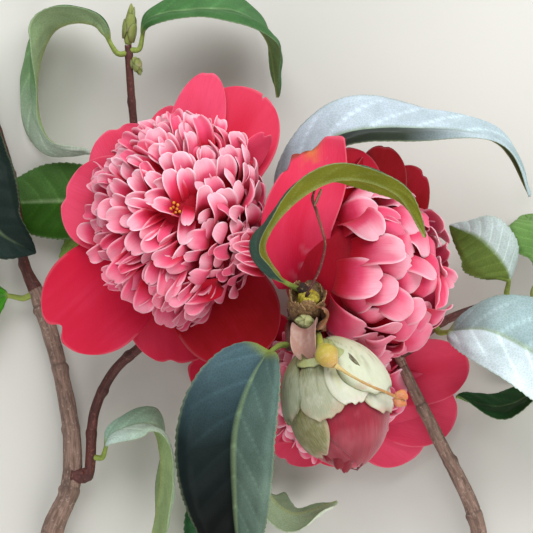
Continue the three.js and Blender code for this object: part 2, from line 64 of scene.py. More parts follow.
# Routes of the limbs: x, y, z and radius. A route that grows on another starts with the
# limb's name, the place on it, the direction out of it and the first radius.
ROUTES = {
    "left": [
        (6, -232, 5.65, 5.6),
        (6, -212, 5.65, 5.5),
        (-8, -191, 7, 5.2),
        (-38, -171, 8.5, 4.8),
        (-66, -146, 9.5, 4.5),
        (-79, -119, 10, 4.3),
        (-80, -99.5, 10, 4.2),
        (-73.4, -83, 10, 3.7),
        (-72.6, -64.8, 10, 3.3),
        (-77.1, -38.6, 10, 2.9),
        (-84.6, -12.5, 10, 3.1),
        (-90.3, 0.6, 9, 1.9),
        (-95.2, 32.4, 8, 1.7),
        (-101.8, 54.9, 6, 1.5),
        (-105, 66, 5, 1.2),
    ],
    "right": [
        ("left", 1.7, (0.8, 0.35, 0.1), 4.5),
        (34, -180, 9, 4.4),
        (60, -158, 10, 4.0),
        (76, -131, 12, 3.5),
        (78.9, -98.5, 14, 3.0),
        (63.2, -63.2, 22, 2.4),
        (55.6, -48.3, 25, 2.1),
        (50, -36.6, 26, 1.9),
        (43, -21, 21, 1.8),
        (30, -11, 19, 1.7),
        (16.5, -9.5, 26, 1.7),
        (12, -12, 42, 1.7),
        (10.3, -15, 60, 1.8),
        (9.8, -15.5, 71, 2.2),
    ],
    "upper": [
        ("left", 7.3, (1, 0.25, 0.3), 2.0),
        (-63.8, -53.4, 14, 1.9),
        (-56.1, -38.3, 18, 1.85),
        (-46.7, -29.7, 21, 1.8),
        (-37.4, -19.7, 23, 1.75),
        (-34.8, -5, 24, 1.7),
        (-39.1, 17.1, 25, 1.6),
        (-46.4, 37.2, 27, 1.5),
        (-49.8, 68.1, 31, 1.4),
        (-50.5, 80.8, 32, 1.3),
    ],
    "side": [
        ("right", 8.3, (1, 0.4, -0.2), 1.6),
        (63.4, -21, 27, 1.6),
        (82, -14.1, 26, 1.5),
        (103.6, -12.3, 24, 1.3),
    ],
    "rear": [
        ("right", 10.2, (0, -0.6, -0.8), 1.5),
        (28, -27, 8, 1.4),
        (25, -43, 3.2, 1.4),
        (14, -57, 3.5, 1.3),
        (-1.7, -67.5, 5, 1.2),
    ],
    "knot": [
        ("right", 13.93, (0.7, 0.5, 0.5), 2.2),
        (14.5, -10.6, 78, 3.6),
        (16.8, -8.2, 81, 4.1),
        (18, -7, 82.6, 3.4),
    ],
    "spur": [
        ("right", 13.2, (-0.25, -1, 0.2), 1.6),
        (8, -22, 71.5, 1.6),
        (8.3, -29, 73.5, 1.5),
    ],
    "stalk": [
        ("right", 13.72, (0.55, -0.8, 0.3), 2.0),
        (14.6, -20.2, 78.8, 2.6),
        (16.6, -24.8, 79.4, 2.8),
    ],
}

# Stretches of the limbs: node, route, first and last place, and the kind of bark
STRETCHES = (
    ("main_stem", "left", 0, 2, "old"),
    ("left_stem_lower", "left", 2, 6, "old"),
    ("left_stem_upper", "left", 6, 10.3, "old"),
    ("left_shoot", "left", 10.3, 14, "young"),
    ("right_stem_lower", "right", 0, 5, "old"),
    ("right_stem_upper", "right", 5, 8, "old"),
    ("centre_twig", "right", 8, 14, "old"),
    ("upper_twig_lower", "upper", 0, 5, "young"),
    ("upper_twig_upper", "upper", 5, 10, "young"),
    ("right_twig", "side", 0, 4, "young"),
    ("rear_twig", "rear", 0, 5, "young"),
    ("bud_spur", "spur", 0, 3, "young"),
    ("bud_stalk", "stalk", 0, 3, "scaly"),
)

# Leaves: where each grows, its midrib, the blade's right-hand direction at the base and the tip,
# its width, how far each half is folded up along the midrib, its material slot, the colours along
# the two halves of its upper side from base to tip, and the colour of its under side. belly moves
# the widest place: the lower, the nearer to the base.
# In several leaves, marked below, pale bluish-white colours are painted sheen and some dark stretches are painted
# shade.
LEAVES = {
    "upper_left_leaf": dict(
        on=("upper", 9.75, (-1, 0.2, 0.1)),
        midrib=((-62.2, 88.6, 33), (-78.6, 87.7, 22), (-86, 68.2, 14.5), (-81.3, 47, 13), (-65, 42, 16)),
        side=((-0.25, -0.15, -0.95), (-0.25, -0.15, -0.95)),
        width=33,
        fold=(0.25, 0.25),
        slot="pale_leaf",
        # The pale mint-white towards the end is partly the leaf's own pale green and partly painted sheen.
        left=((44, 84, 40), (96, 136, 84), (200, 214, 196)),
        right=((50, 90, 44), (110, 148, 96), (206, 218, 202)),
        under=(150, 176, 128),
    ),
    "upper_right_leaf": dict(
        on=("upper", 9.85, (1, 0.2, 0.1)),
        midrib=((-43, 89.5, 35), (-29.5, 93, 35), (-9.6, 92.4, 30), (0.5, 83.5, 21), (4.2, 63, 14)),
        side=((0.1, -0.45, 0.9), (0.25, -0.35, 0.9)),
        width=34,
        fold=(0.15, 0.15),
        slot="green_leaf",
        left=((62, 104, 54), (70, 112, 66)),
        right=((58, 98, 50), (66, 106, 62)),
        under=(120, 150, 90),
    ),
    "left_green_leaf": dict(
        on=("upper", 7.6, (-1, 0, -0.2)),
        midrib=((-56, 24.5, 18), (-78, 24.5, 8), (-93, 24, 2.8), (-106, 23, 1.2)),
        side=((0, 0.86, -0.5), (0, 0.99, -0.05)),
        width=30,
        fold=(0.1, 0.1),
        slot="green_leaf",
        left=((44, 84, 16), (40, 74, 16)),
        right=((46, 84, 18), (80, 116, 60)),
        under=(120, 145, 70),
    ),
    "left_pale_leaf": dict(
        on=("upper", 7.0, (-1, 0, -0.3)),
        midrib=((-50, 12, 14), (-62, 4, 9), (-77, -11, 10)),
        side=((-0.53, 0.72, -0.04), (-0.53, 0.72, -0.04)),
        width=30,
        fold=(0.1, 0.1),
        slot="green_leaf",
        left=((116, 144, 62), (130, 154, 78)),
        right=((110, 138, 56), (124, 150, 74)),
        under=(140, 160, 90),
    ),
    "left_dark_leaf": dict(
        on=("left", 13.4, (-0.4, 0.2, 1)),
        midrib=((-108, 59, 20), (-110, 38, 29), (-99, 14, 30), (-85, 5, 24)),
        side=((-0.9, -0.28, 0.28), (-0.8, -0.5, 0.1)),
        width=34,
        fold=(-0.15, -0.15),
        slot="dark_leaf",
        left=((20, 32, 28), (24, 38, 32)),
        right=((24, 38, 34), (30, 46, 40)),
        under=(80, 100, 60),
    ),
    "left_small_leaf": dict(
        on=("left", 10.2, (-1, 0, 0.1)),
        midrib=((-98, -11, 12), (-112, -17, 10), (-124, -25, 4)),
        side=((-0.3, 0.9, -0.3), (-0.3, 0.9, -0.3)),
        width=20,
        fold=(0.15, 0.15),
        slot="green_leaf",
        left=((64, 138, 30), (70, 144, 38)),
        right=((64, 138, 30), (70, 144, 38)),
        under=(120, 160, 70),
    ),
    "lower_left_leaf": dict(
        on=("upper", 1.4, (1, -0.6, 0.3)),
        midrib=((-57, -62, 20), (-42, -58.5, 22), (-38, -74, 20), (-41, -95, 16), (-46, -117, 10)),
        side=((0.2, -0.45, 0.87), (0.2, -0.35, 0.9)),
        width=30,
        fold=(0.15, 0.15),
        slot="pale_leaf",
        # The pale colours near the base are partly the leaf's own green and partly painted sheen.
        left=((158, 190, 168), (140, 176, 110)),
        right=((190, 212, 200), (160, 192, 126)),
        under=(158, 182, 124),
    ),
    "lower_dark_leaf": dict(
        on=("rear", 4.8, (0, 0, 1)),
        midrib=((-11, -78, 12), (-19, -96, 11), (-24, -119, 6)),
        side=((-0.9, 0.35, -0.1), (-0.95, 0.2, -0.1)),
        width=25,
        fold=(0.15, 0.15),
        slot="dark_leaf",
        left=((30, 64, 36), (38, 78, 44)),
        right=((36, 70, 42), (44, 84, 50)),
        under=(100, 128, 74),
    ),
    "lower_pale_leaf": dict(
        on=("rear", 4.9, (0.6, -0.8, 0.2)),
        midrib=((0, -84, 14), (9.5, -92.2, 15), (26.2, -87.6, 14)),
        side=((0.3, 0.25, -0.92), (0.3, 0.25, -0.92)),
        width=27,
        fold=(0.1, 0.1),
        slot="pale_leaf",
        # These pale mint colours are partly the leaf's own pale green and partly painted sheen.
        left=((176, 194, 156), (210, 220, 196)),
        right=((176, 194, 156), (210, 220, 196)),
        under=(160, 184, 146),
    ),
    "front_dark_leaf": dict(
        on=("spur", 2.8, (-0.8, 0.1, 0.6)),
        midrib=((-1.6, -33, 81), (-9.8, -53, 82), (-10.7, -81.7, 71), (-8.4, -115.7, 54)),
        side=((-1, 0.1, -0.05), (-1, 0, -0.1)),
        width=44,
        fold=(0.85, 0.4),
        belly=0.66,
        slot="dark_leaf",
        # The left-hand colours are the leaf's green painted paler as the lit half; the right-hand colours start with a
        # painted bluish sheen at the base.
        left=((80, 106, 100), (106, 128, 112), (92, 116, 98)),
        right=((78, 104, 110), (18, 31, 30), (3, 9, 6), (5, 13, 9)),
        under=(104, 124, 66),
    ),
    "front_curled_leaf": dict(
        on=("knot", 2.3, (-0.7, 0.5, 0.4)),
        midrib=(
            (3.5, -3, 88),
            (-1.5, 7.4, 96),
            (8, 21.4, 102),
            (24.9, 29.8, 105),
            (43.5, 24.8, 105),
            (53.5, 10, 103),
        ),
        side=((0.2, 0.15, 0.95), (0.15, 0.42, 0.88)),
        width=22,
        fold=(0.2, 0.2),
        slot="green_leaf",
        left=((56, 80, 72), (56, 86, 44)),
        right=((50, 74, 68), (50, 80, 42)),
        under=(124, 128, 38),
    ),
    "top_glossy_leaf": dict(
        on=("right", 11.4, (-0.3, 1, 0.4)),
        midrib=((11.5, 10, 36), (10, 30, 42), (24, 46, 52), (53, 48.5, 66), (81, 43.5, 69), (93, 25, 65)),
        side=((0.5, -0.4, 0.75), (-0.1, -0.33, 0.94)),
        width=38,
        fold=(0.2, 0.2),
        slot="dark_leaf",
        # The pale bluish-white colours are painted reflection; the near-black olive stretch in the right-hand colours,
        # and the dark under side, are painted shade on the near half.
        left=((150, 172, 178), (188, 202, 210), (184, 200, 206), (140, 164, 160)),
        right=((150, 172, 178), (22, 28, 4), (9, 13, 1), (44, 52, 40), (176, 192, 196), (170, 190, 190)),
        under=(52, 62, 20),
    ),
    "right_glossy_leaf": dict(
        on=("side", 1.9, (0.4, -0.4, 0.8)),
        midrib=((79.8, -23, 48), (105, -37, 48), (137, -62, 38)),
        side=((-0.39, -0.76, 0.48), (-0.39, -0.76, 0.48)),
        width=40,
        fold=(0.25, 0.25),
        slot="green_leaf",
        # These pale bluish-white colours are painted reflection over the leaf's green.
        left=((140, 164, 160), (160, 182, 186)),
        right=((180, 200, 200), (222, 230, 234)),
        under=(110, 134, 70),
    ),
    "right_ridge_leaf": dict(
        on=("side", 3.3, (-0.2, 1, 0.5)),
        midrib=((88, -2, 33), (78, 10, 36), (67, 15, 30)),
        side=((0.6, 0.75, -0.2), (0.6, 0.75, -0.2)),
        width=25,
        fold=(-0.3, -0.3),
        slot="green_leaf",
        # The right-hand half is painted pale as sheen; the left-hand half is partly the leaf's own olive green and
        # partly painted shade.
        left=((98, 116, 50), (84, 106, 44)),
        right=((176, 192, 184), (196, 208, 204)),
        under=(96, 116, 40),
    ),
    "right_far_leaf": dict(
        on=("side", 3.75, (0.2, 1, 0.3)),
        midrib=((103, 2, 28), (100, 14, 18), (97, 19, 3)),
        side=((0.95, 0.2, -0.1), (0.95, 0.2, -0.1)),
        width=24,
        fold=(0.15, 0.15),
        slot="green_leaf",
        left=((92, 130, 64), (106, 142, 76)),
        right=((92, 130, 64), (106, 142, 76)),
        under=(120, 146, 80),
    ),
    "right_low_leaf": dict(
        on=("side", 3.75, (0.3, -1, -0.2)),
        midrib=((110, -28, 18), (103, -44, 13), (88, -52, 15), (70, -48, 23)),
        side=((0.35, 0.2, -0.9), (0.1, 0.4, -0.9)),
        width=26,
        fold=(0.15, 0.15),
        slot="dark_leaf",
        left=((32, 68, 34), (38, 76, 40)),
        right=((36, 74, 38), (42, 82, 44)),
        under=(92, 122, 62),
    ),
}

# Blooms: seat, base, axis and the direction of azimuth 0. The dome has a radius and a height, is
# stretched and moved towards azimuth 90, moved aside, slanted sideways, and its middle lies off
# its top.
# pit is how many inner petals are missing there, and stamens show in their place. bare is an
# azimuth and how far down from the top the inner petals go there, in degrees. inner is how
# many inner petals it has, and how wide and long they are, and wild how unevenly they lean. lean is how those lean,
# as azimuth in degrees and the turn from straight outwards: at 0 out, at 180 in to the middle.
# light is the direction that the inner petals are painted palest towards, as painted light.
# A guard petal is azimuth in degrees, length, width, the height of its end, how many degrees its
# blade turns about itself, its tone from 0, rosy, to 1, crimson, which is painted shade: rosy where
# the petal lies in the light and crimson where it lies in deep shade, and the place across its end,
# the width and the depth of a notch.
BLOOMS = {
    "left_bloom": dict(
        on=("upper", 6.6, (0.1, 0, 1)),
        base=(-34.6, 11.3, 46),
        axis=(-0.02, 0.1, 1),
        zero=(1, 0, 0),
        radius=31,
        height=43,
        stretch=1.2,
        move=3.5,
        aside=3.2,
        slant=0.09,
        middle=(0.03, 0.04),
        pit=4,
        bare=(222, 68),
        wild=0.55,
        inner=(262, 7.6, 17.5),
        lean=(
            (0, 150),
            (45, 75),
            (90, 25),
            (135, 5),
            (180, -5),
            (225, -20),
            (270, -40),
            (300, -115),
            (330, -170),
            (360, -210),
        ),
        light=(0.25, 0.75, 0.55),
        seed=11,
        stray=(
            ((-57.2, 10.8, 60), (-67.1, 13.6, 60), (0.28, 1, 0), 7.5, 0.35),
            ((-17.5, -6.6, 72), (-33.0, -9.4, 80), (-0.16, 1, 0.2), 8.2, 0.6),
            ((-1.6, 9.0, 66), (-13.3, 9.9, 80), (0, 1, 0), 5.5, 0.8),
            ((-1.4, 5.5, 67), (-11.6, 7.1, 81), (0, 1, 0), 5.5, 0.8),
            ((-1.6, 2.0, 67), (-10.6, 3.6, 81), (0, 1, 0), 5.5, 0.8),
            ((-2.2, -1.0, 66), (-9.9, 0.2, 80), (0, 1, 0), 5.0, 0.8),
        ),
        guards=(
            (88, 47, 22, 3, 0, 0.24, 0.0, 0.2, 0.01),
            (76, 60.5, 20, 6, 0, 0.10, -0.2, 0.3, 0.012),
            (58, 61, 35, 2, 0, 0.34, 0.25, 0.04, 0.03),
            (43, 52, 13, 14, -40, 0.06, -0.3, 0.3, 0.04),
            (120, 44, 30, 4, 0, 0.14, 0.4, 0.3, 0.03),
            (155, 41, 35, 6, 0, 0.10, -0.5, 0.3, 0.03),
            (222, 55, 39, -1, 0, 0.46, 0.2, 0.3, 0.08),
            (273, 46.5, 34, -6, 0, 0.56, 0.3, 0.3, 0.03),
            (306, 54.5, 38, -0.5, 0, 0.9, 0.5, 0.04, 0.02),
            (0, 38, 28, 0, 0, 0.70, 0.0, 0.2, 0.02),
        ),
    ),
    "right_bloom": dict(
        on=("right", 10.9, (0.9, 0.5, 0.4)),
        base=(25.4, -1.2, 53),
        axis=(0.95, -0.1, 0.28),
        zero=(0, 1, 0),
        radius=34,
        height=40,
        stretch=1.0,
        move=0.0,
        aside=0.0,
        slant=0.0,
        middle=(0.0, 0.0),
        pit=0,
        bare=(90, 70),
        wild=0.7,
        inner=(108, 12.2, 26),
        lean=((0, 172), (90, 180), (180, 188), (270, 180), (360, 172)),
        light=(0.25, 0.85, 0.4),
        seed=23,
        guards=(
            (24, 47, 26, 2, 50, 0.75, 0.1, 0.2, 0.02),
            (8, 48, 28, 15, 40, 1.0, 0.0, 0.2, 0.01),
            (-18, 47, 28, 25, 35, 0.95, 0.2, 0.2, 0.02),
            (75, 22, 24, -10, 0, 0.45, 0.0, 0.2, 0.02),
            (184, 44, 22, 18, 0, 0.26, 0.0, 0.2, 0.02),
            (150, 26, 22, 8, 0, 0.60, 0.0, 0.2, 0.02),
            (278, 40, 36, 0, 0, 0.60, 0.2, 0.2, 0.04),
            (318, 42, 34, -2, 0, 0.60, -0.2, 0.2, 0.04),
        ),
    ),
    "rear_bloom": dict(
        on=("rear", 3, (0, 0, 1)),
        base=(25, -43, 12),
        axis=(-0.06, -0.12, 0.99),
        zero=(1, 0, 0),
        radius=25.5,
        height=31,
        stretch=1.0,
        move=0.0,
        aside=0.0,
        slant=0.0,
        middle=(0.0, 0.0),
        pit=0,
        bare=(0, 180),
        wild=0.5,
        inner=(120, 9.0, 15),
        lean=((0, 20), (360, 20)),
        light=(0, 0, 1),
        seed=37,
        guards=(
            (8, 51, 25, 0, 0, 0.20, 0.0, 0.3, 0.0),
            (-18, 48, 28, -3, 0, 0.16, 0.0, 0.3, 0.0),
            (-40, 42, 28, 0, 0, 0.12, 0.0, 0.3, 0.0),
            (172, 55, 34, 0, 0, 0.45, 0.0, 0.2, 0.03),
            (150, 44, 26, 2, 0, 0.45, 0.2, 0.2, 0.03),
            (206, 34, 26, 5, 0, 0.30, 0.0, 0.2, 0.03),
            (276, 32, 26, 5, 0, 0.30, 0.1, 0.2, 0.03),
            (238, 35, 26, 6, 0, 0.1, 0.0, 0.2, 0.03),
        ),
    ),
}
# The guard petal whose end is torn and has gone brown: bloom, midrib, right-hand direction, width
# and how much of its length is torn off at places across its end
TORN_GUARD = dict(
    bloom="right_bloom",
    midrib=((24, 0, 56), (13.5, -5.6, 68), (10.4, 13.5, 73), (16.5, 31.0, 75), (16.8, 45.5, 74)),
    side=(1, -0.1, 0.05),
    width=25,
    edge=(
        (-1, -0.86, -0.8, -0.5, -0.1, 0.1, 0.34, 0.73, 1),
        (0.017, 0.055, -0.012, 0.048, 0.069, 0.044, -0.011, -0.084, -0.165),
    ),
)
CALYX_DEPTH = 3.5
CALYX_RADIUS = 6.0

# The fat flower bud: its foot and tip, and radius against the way down its axis
BUD_FOOT = (18.2, -25.0, 79.8)
BUD_TIP = (31.2, -69.8, 82)
BUD_PROFILE = (
    (0, 0),
    (2.6, 0.4),
    (7, 2.6),
    (12.6, 7.5),
    (16.0, 13.5),
    (17.4, 20),
    (17.2, 27),
    (15.4, 34),
    (11.8, 40),
    (6.6, 44.6),
    (2.5, 46.4),
    (0, 46.8),
)


def linear(colour):
    """An 8-bit display colour as the linear numbers that a shader takes."""
    share = np.asarray(colour, float) / 255
    return np.where(share <= 0.04045, share / 12.92, ((share + 0.055) / 1.055) ** 2.4)


def unit(vectors):
    """Vectors of length one."""
    length = np.linalg.norm(vectors, axis=-1, keepdims=True)
    return vectors / np.maximum(length, 1e-9)


def smooth(low, high, value):
    """0 below low, 1 above high, and an even slope between."""
    share = np.clip((np.asarray(value, float) - low) / (high - low), 0, 1)
    return share * share * (3 - 2 * share)


def mix(first, second, share):
    """A blend of two colours or points by a share for each point."""
    share = np.asarray(share, float)[..., None]
    return np.asarray(first, float) * (1 - share) + np.asarray(second, float) * share


def lumps(points, size, seed=0):
    """Smooth noise from -1 to 1 with features about size wide."""
    scaled = np.asarray(points, float) / size
    cell = np.floor(scaled).astype(np.int64)
    part = scaled - cell
    part = part * part * (3 - 2 * part)
    total = np.zeros(scaled.shape[:-1])
    for corner in np.ndindex(2, 2, 2):
        at = cell + np.array(corner)
        mixed = (at[..., 0] * 374761393 + at[..., 1] * 668265263 + at[..., 2] * 1013904223 + seed * 69069) & 0xFFFFFFFF
        mixed = ((mixed ^ (mixed >> 13)) * 1274126177) & 0xFFFFFFFF
        value = (mixed ^ (mixed >> 16)) / 0x7FFFFFFF - 1
        total += value * np.prod(np.where(corner, part, 1 - part), axis=-1)
    return total


class Route:
    """A smooth line through points, with a radius at each place along it."""

    def __init__(self, points):
        rows = np.array([tuple(p) + (0.0,) * (4 - len(p)) for p in points], float)
        self.points = rows[:, :3]
        self.radii = rows[:, 3]
        self.last = len(rows) - 1

    def at(self, place):
        place = np.clip(np.asarray(place, float), 0, self.last)
        i = np.minimum(np.floor(place).astype(int), self.last - 1)
        w = (place - i)[..., None]
        p = self.points
        p = np.vstack([2 * p[0] - p[1], p, 2 * p[-1] - p[-2]])
        a, b, c, d = p[i], p[i + 1], p[i + 2], p[i + 3]
        before, here, after = (np.sqrt(np.linalg.norm(y - x, axis=-1, keepdims=True)) for x, y in ((a, b), (b, c), (c, d)))
        leave = ((b - a) / before - (c - a) / (before + here) + (c - b) / here) * here
        arrive = ((c - b) / here - (d - b) / (here + after) + (d - c) / after) * here
        return b + w * leave + w**2 * (3 * (c - b) - 2 * leave - arrive) + w**3 * (2 * (b - c) + leave + arrive)

    def along(self, place):
        low = np.clip(np.asarray(place, float) - 0.002, 0, self.last)
        high = np.clip(np.asarray(place, float) + 0.002, 0, self.last)
        return unit(self.at(high) - self.at(low))

    def radius(self, place):
        return np.interp(place, np.arange(self.last + 1), self.radii)

    def measured(self):
        places = np.linspace(0, self.last, 60 * self.last + 1)
        steps = np.linalg.norm(np.diff(self.at(places), axis=0), axis=1)
        return places, np.concatenate([[0], np.cumsum(steps)])

    def length(self):
        return self.measured()[1][-1]

    def even(self, share):
        """The places that lie at these shares of the length."""
        places, run = self.measured()
        return np.interp(np.asarray(share, float) * run[-1], run, places)


def seat_on(name, place, direction, radius):
    """The first two points of a branch that leaves a limb at a place, in a direction."""
    limb = LIMBS[name]
    along = limb.along(place)
    out = np.array(direction, float)
    out = unit(out - along * out.dot(along))
    foot = limb.at(place) + out * (limb.radius(place) + SEAT_GAP)
    return [(*foot, radius), (*(foot + out * STUB), radius)]


LIMBS = {}
for limb_name, limb_points in ROUTES.items():
    if isinstance(limb_points[0][0], str):
        limb_points = seat_on(*limb_points[0]) + limb_points[1:]
    LIMBS[limb_name] = Route(limb_points)


def grid_normals(middle):
    """The unit normals of a grid of points whose columns run across and whose rows run along."""
    return unit(np.cross(np.gradient(middle, axis=1), np.gradient(middle, axis=0)))


def lifted(points):
    """Presses what would sink into the floor up onto it, without closing its thickness."""
    height = points[:, 2]
    pressed = RESTING * np.exp(np.minimum(height - RESTING, 0) / RESTING)
    return np.column_stack([points[:, :2], np.where(height < RESTING, pressed, height)])


class Shape:
    """Gathers the sheets and tubes of one piece, with their colours, until it is built."""

    def __init__(self):
        self.points, self.paint, self.grain = [], [], []
        self.faces, self.charts, self.finishes = [], [], []
        self.total = 0
        self.chart_total = 0

    def add_points(self, points, paint, grain):
        points = np.asarray(points, float).reshape(-1, 3)
        self.points.append(points)
        self.paint.append(np.broadcast_to(paint, points.shape[:-1] + (3,)).reshape(-1, 3))
        self.grain.append(np.broadcast_to(grain, points.shape).reshape(-1, 3))
        self.total += len(points)
        return self.total - len(points)

    def add_faces(self, faces, places, finish, chart):
        """Faces with the place of each corner on its chart, from 0 to 1 each way."""
        self.faces.append(faces)
        self.charts.append((places, chart))
        self.finishes.append(np.full(len(faces), finish))

    def new_chart(self):
        self.chart_total += 1
        return self.chart_total - 1

    def sheet(self, middle, thick, top_paint, under_paint, grain, finishes=(0, 0), relief=0.0):
        """A thin closed blade about a grid of points. relief thickens its under side only."""
        rows, columns = middle.shape[:2]
        normals = grid_normals(middle)
        half = np.broadcast_to(thick, (rows, columns))[..., None] / 2
        under = np.broadcast_to(relief, (rows, columns))[..., None]
        shape = (rows, columns, 3)
        top_start = self.add_points(middle + normals * half, np.broadcast_to(top_paint, shape).reshape(-1, 3), grain.reshape(-1, 3))
        under_start = self.add_points(middle - normals * (half + under), np.broadcast_to(under_paint, shape).reshape(-1, 3), grain.reshape(-1, 3))
        index = np.arange(rows * columns).reshape(rows, columns)
        corners = np.stack([index[:-1, :-1], index[:-1, 1:], index[1:, 1:], index[1:, :-1]], -1).reshape(-1, 4)
        across, along = np.meshgrid(np.linspace(0.06, 0.94, columns), np.linspace(0.06, 0.94, rows))
        place = np.stack([across, along], -1).reshape(-1, 2)
        top_chart = self.new_chart()
        self.add_faces(corners + top_start, place[corners], finishes[0], top_chart)
        back = corners[:, ::-1]
        self.add_faces(back + under_start, place[back], finishes[1], self.new_chart())
        edge = np.concatenate([index[0, :-1], index[:-1, -1], index[-1, :0:-1], index[:0:-1, 0]])
        ahead = np.roll(edge, -1)
        rim = np.stack([edge + top_start, edge + under_start, ahead + under_start, ahead + top_start], -1)
        out = np.array([0.5, 0.5]) + (place - 0.5) * 1.1
        self.add_faces(rim, np.stack([place[edge], out[edge], out[ahead], place[ahead]], 1), finishes[1], top_chart)

    def tube(self, rings, paint, grain, finish=0, ends=(0, 0)):
        """A closed tube through rings of points, with a flat fan at each end."""
        count, sides = rings.shape[:2]
        shape = rings.shape
        start = self.add_points(rings, np.broadcast_to(paint, shape).reshape(-1, 3), np.broadcast_to(grain, shape).reshape(-1, 3))
        index = np.arange(count * sides).reshape(count, sides)
        beside = np.roll(index, -1, axis=1)
        corners = np.stack([index[:-1], index[1:], beside[1:], beside[:-1]], -1).reshape(-1, 4)
        u = np.linspace(0.03, 0.97, sides + 1)
        v = np.linspace(0.03, 0.97, count)
        left, low = np.meshgrid(u[:-1], v[:-1])
        right, high = np.meshgrid(u[1:], v[1:])
        places = np.stack([left, low, left, high, right, high, right, low], -1).reshape(-1, 4, 2)
        self.add_faces(corners + start, places, finish, self.new_chart())
        turn = np.linspace(0, 2 * math.pi, sides, endpoint=False)
        circle = np.stack([0.5 + 0.4 * np.cos(turn), 0.5 + 0.4 * np.sin(turn)], -1)
        for end, ring, flip in ((ends[0], 0, False), (ends[1], count - 1, True)):
            centre_paint = np.broadcast_to(paint, shape)[ring].mean(0)
            centre_grain = np.broadcast_to(grain, shape)[ring].mean(0)
            centre = self.add_points(rings[ring].mean(0)[None], centre_paint, centre_grain)
            a = index[ring] + start
            b = np.roll(a, -1)
            middle = np.full(sides, centre)
            hub = np.full((sides, 2), 0.5)
            ahead = np.roll(circle, -1, axis=0)
            fan = np.stack([a, middle, b] if flip else [a, b, middle], -1)
            place = np.stack([circle, hub, ahead] if flip else [circle, ahead, hub], 1)
            self.add_faces(fan, place, end, self.new_chart())

    def build(self, name, materials, nodes=()):
        """Makes the piece in metres, in the frame's place, and rides it on the branch."""
        mesh = bpy.data.meshes.new(name)
        points = lifted(np.concatenate(self.points)) - MIDDLE
        points = points * MM
        faces = [row for group in self.faces for row in group.tolist()]
        mesh.from_pydata(points.tolist(), [], faces)
        paint = np.concatenate(self.paint)
        rgba = np.concatenate([paint, np.ones((len(paint), 1))], axis=1)
        colour = mesh.color_attributes.new("paint", "FLOAT_COLOR", "POINT")
        colour.data.foreach_set("color", np.clip(rgba, 0, 1).astype(np.float32).ravel())
        grain = mesh.attributes.new("grain", "FLOAT_VECTOR", "POINT")
        grain.data.foreach_set("vector", np.concatenate(self.grain).astype(np.float32).ravel())
        across = math.ceil(math.sqrt(self.chart_total))
        down = math.ceil(self.chart_total / across)
        corners = []
        for places, chart in self.charts:
            cell = np.array([chart % across, chart // across])
            corners.append(((places + cell) / np.array([across, down])).reshape(-1, 2))
        chart_map = mesh.uv_layers.new(name="OFBake")
        chart_map.data.foreach_set("uv", np.concatenate(corners).astype(np.float32).ravel())
        mesh.polygons.foreach_set("use_smooth", np.ones(len(faces), bool))
        mesh.polygons.foreach_set("material_index", np.concatenate(self.finishes).astype(np.int32))
        for material in materials:
            mesh.materials.append(material)
        mesh.update()
        piece = bpy.data.objects.new(name, mesh)
        bpy.context.scene.collection.objects.link(piece)
        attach(piece, "root")
        if nodes:
            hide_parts(*nodes)
        return piece


class Finish:
    """A node material whose colour starts from the piece's painted colour."""

    def __init__(self, name, **sockets):
        self.material = bpy.data.materials.new(name)
        self.material.use_nodes = True
        self.nodes = self.material.node_tree.nodes
        self.links = self.material.node_tree.links
        self.shader = self.nodes["Principled BSDF"]
        for socket, value in sockets.items():
            self.shader.inputs[socket.replace("_", " ")].default_value = value
        self.paint = self.add("ShaderNodeAttribute", attribute_name="paint").outputs["Color"]
        self.grain = self.add("ShaderNodeAttribute", attribute_name="grain").outputs["Vector"]

    def add(self, kind, inputs=None, **settings):
        node = self.nodes.new(kind)
        for key, value in settings.items():
            setattr(node, key, value)
        for key, value in (inputs or {}).items():
            if isinstance(value, bpy.types.NodeSocket):
                self.links.new(value, node.inputs[key])
            else:
                node.inputs[key].default_value = value
        return node

    def stretched(self, scale):
        """The grain's coordinates, scaled each way."""
        return self.add("ShaderNodeMapping", {"Vector": self.grain, "Scale": scale}).outputs["Vector"]

    def noise(self, scale, detail=3.0, roughness=0.55, size=1.0):
        vector = self.stretched(scale)
        inputs = {"Vector": vector, "Scale": size, "Detail": detail, "Roughness": roughness}
        return self.add("ShaderNodeTexNoise", inputs).outputs["Fac"]

    def ramp(self, value, low, high, bottom=0.0, top=1.0):
        inputs = {"Value": value, "From Min": low, "From Max": high, "To Min": bottom, "To Max": top}
        return self.add("ShaderNodeMapRange", inputs, clamp=True).outputs["Result"]

    def blend(self, share, first, second, kind="MIX"):
        ends = [c if isinstance(c, bpy.types.NodeSocket) else (*linear(c), 1) for c in (first, second)]
        inputs = {0: share, 6: ends[0], 7: ends[1]}
        return self.add("ShaderNodeMix", inputs, data_type="RGBA", blend_type=kind).outputs[2]

    def set(self, socket, output):
        self.links.new(output, self.shader.inputs[socket])

    def bump(self, height, strength, distance):
        inputs = {"Height": height, "Strength": strength, "Distance": distance}
        self.set("Normal", self.add("ShaderNodeBump", inputs).outputs["Normal"])


def petal_finish(name, roughness, sheen):
    """Satin petal skin with fine veins that run along it."""
    f = Finish(name, Roughness=roughness, Sheen_Weight=sheen, Subsurface_Weight=0.15, Subsurface_Scale=0.002)
    f.shader.inputs["Subsurface Radius"].default_value = (1.0, 0.3, 0.3)
    f.shader.inputs["Specular IOR Level"].default_value = 0.12
    veins = f.noise((2.4, 0.22, 1.0), detail=3.0)
    cells = f.noise((3.0, 3.0, 1.0), detail=2.0)
    cloud = f.noise((0.16, 0.12, 1.0), detail=2.0)
    veined = f.blend(f.ramp(veins, 0.48, 0.72, 0.0, 0.16), f.paint, (196, 20, 60))
    colour = f.blend(f.ramp(cloud, 0.4, 0.75, 0.0, 0.14), veined, (214, 30, 70))
    f.set("Base Color", colour)
    f.set("Roughness", f.ramp(cells, 0.3, 0.7, roughness - 0.06, roughness + 0.08))
    f.bump(veins, 0.3, 0.0004)
    return f.material


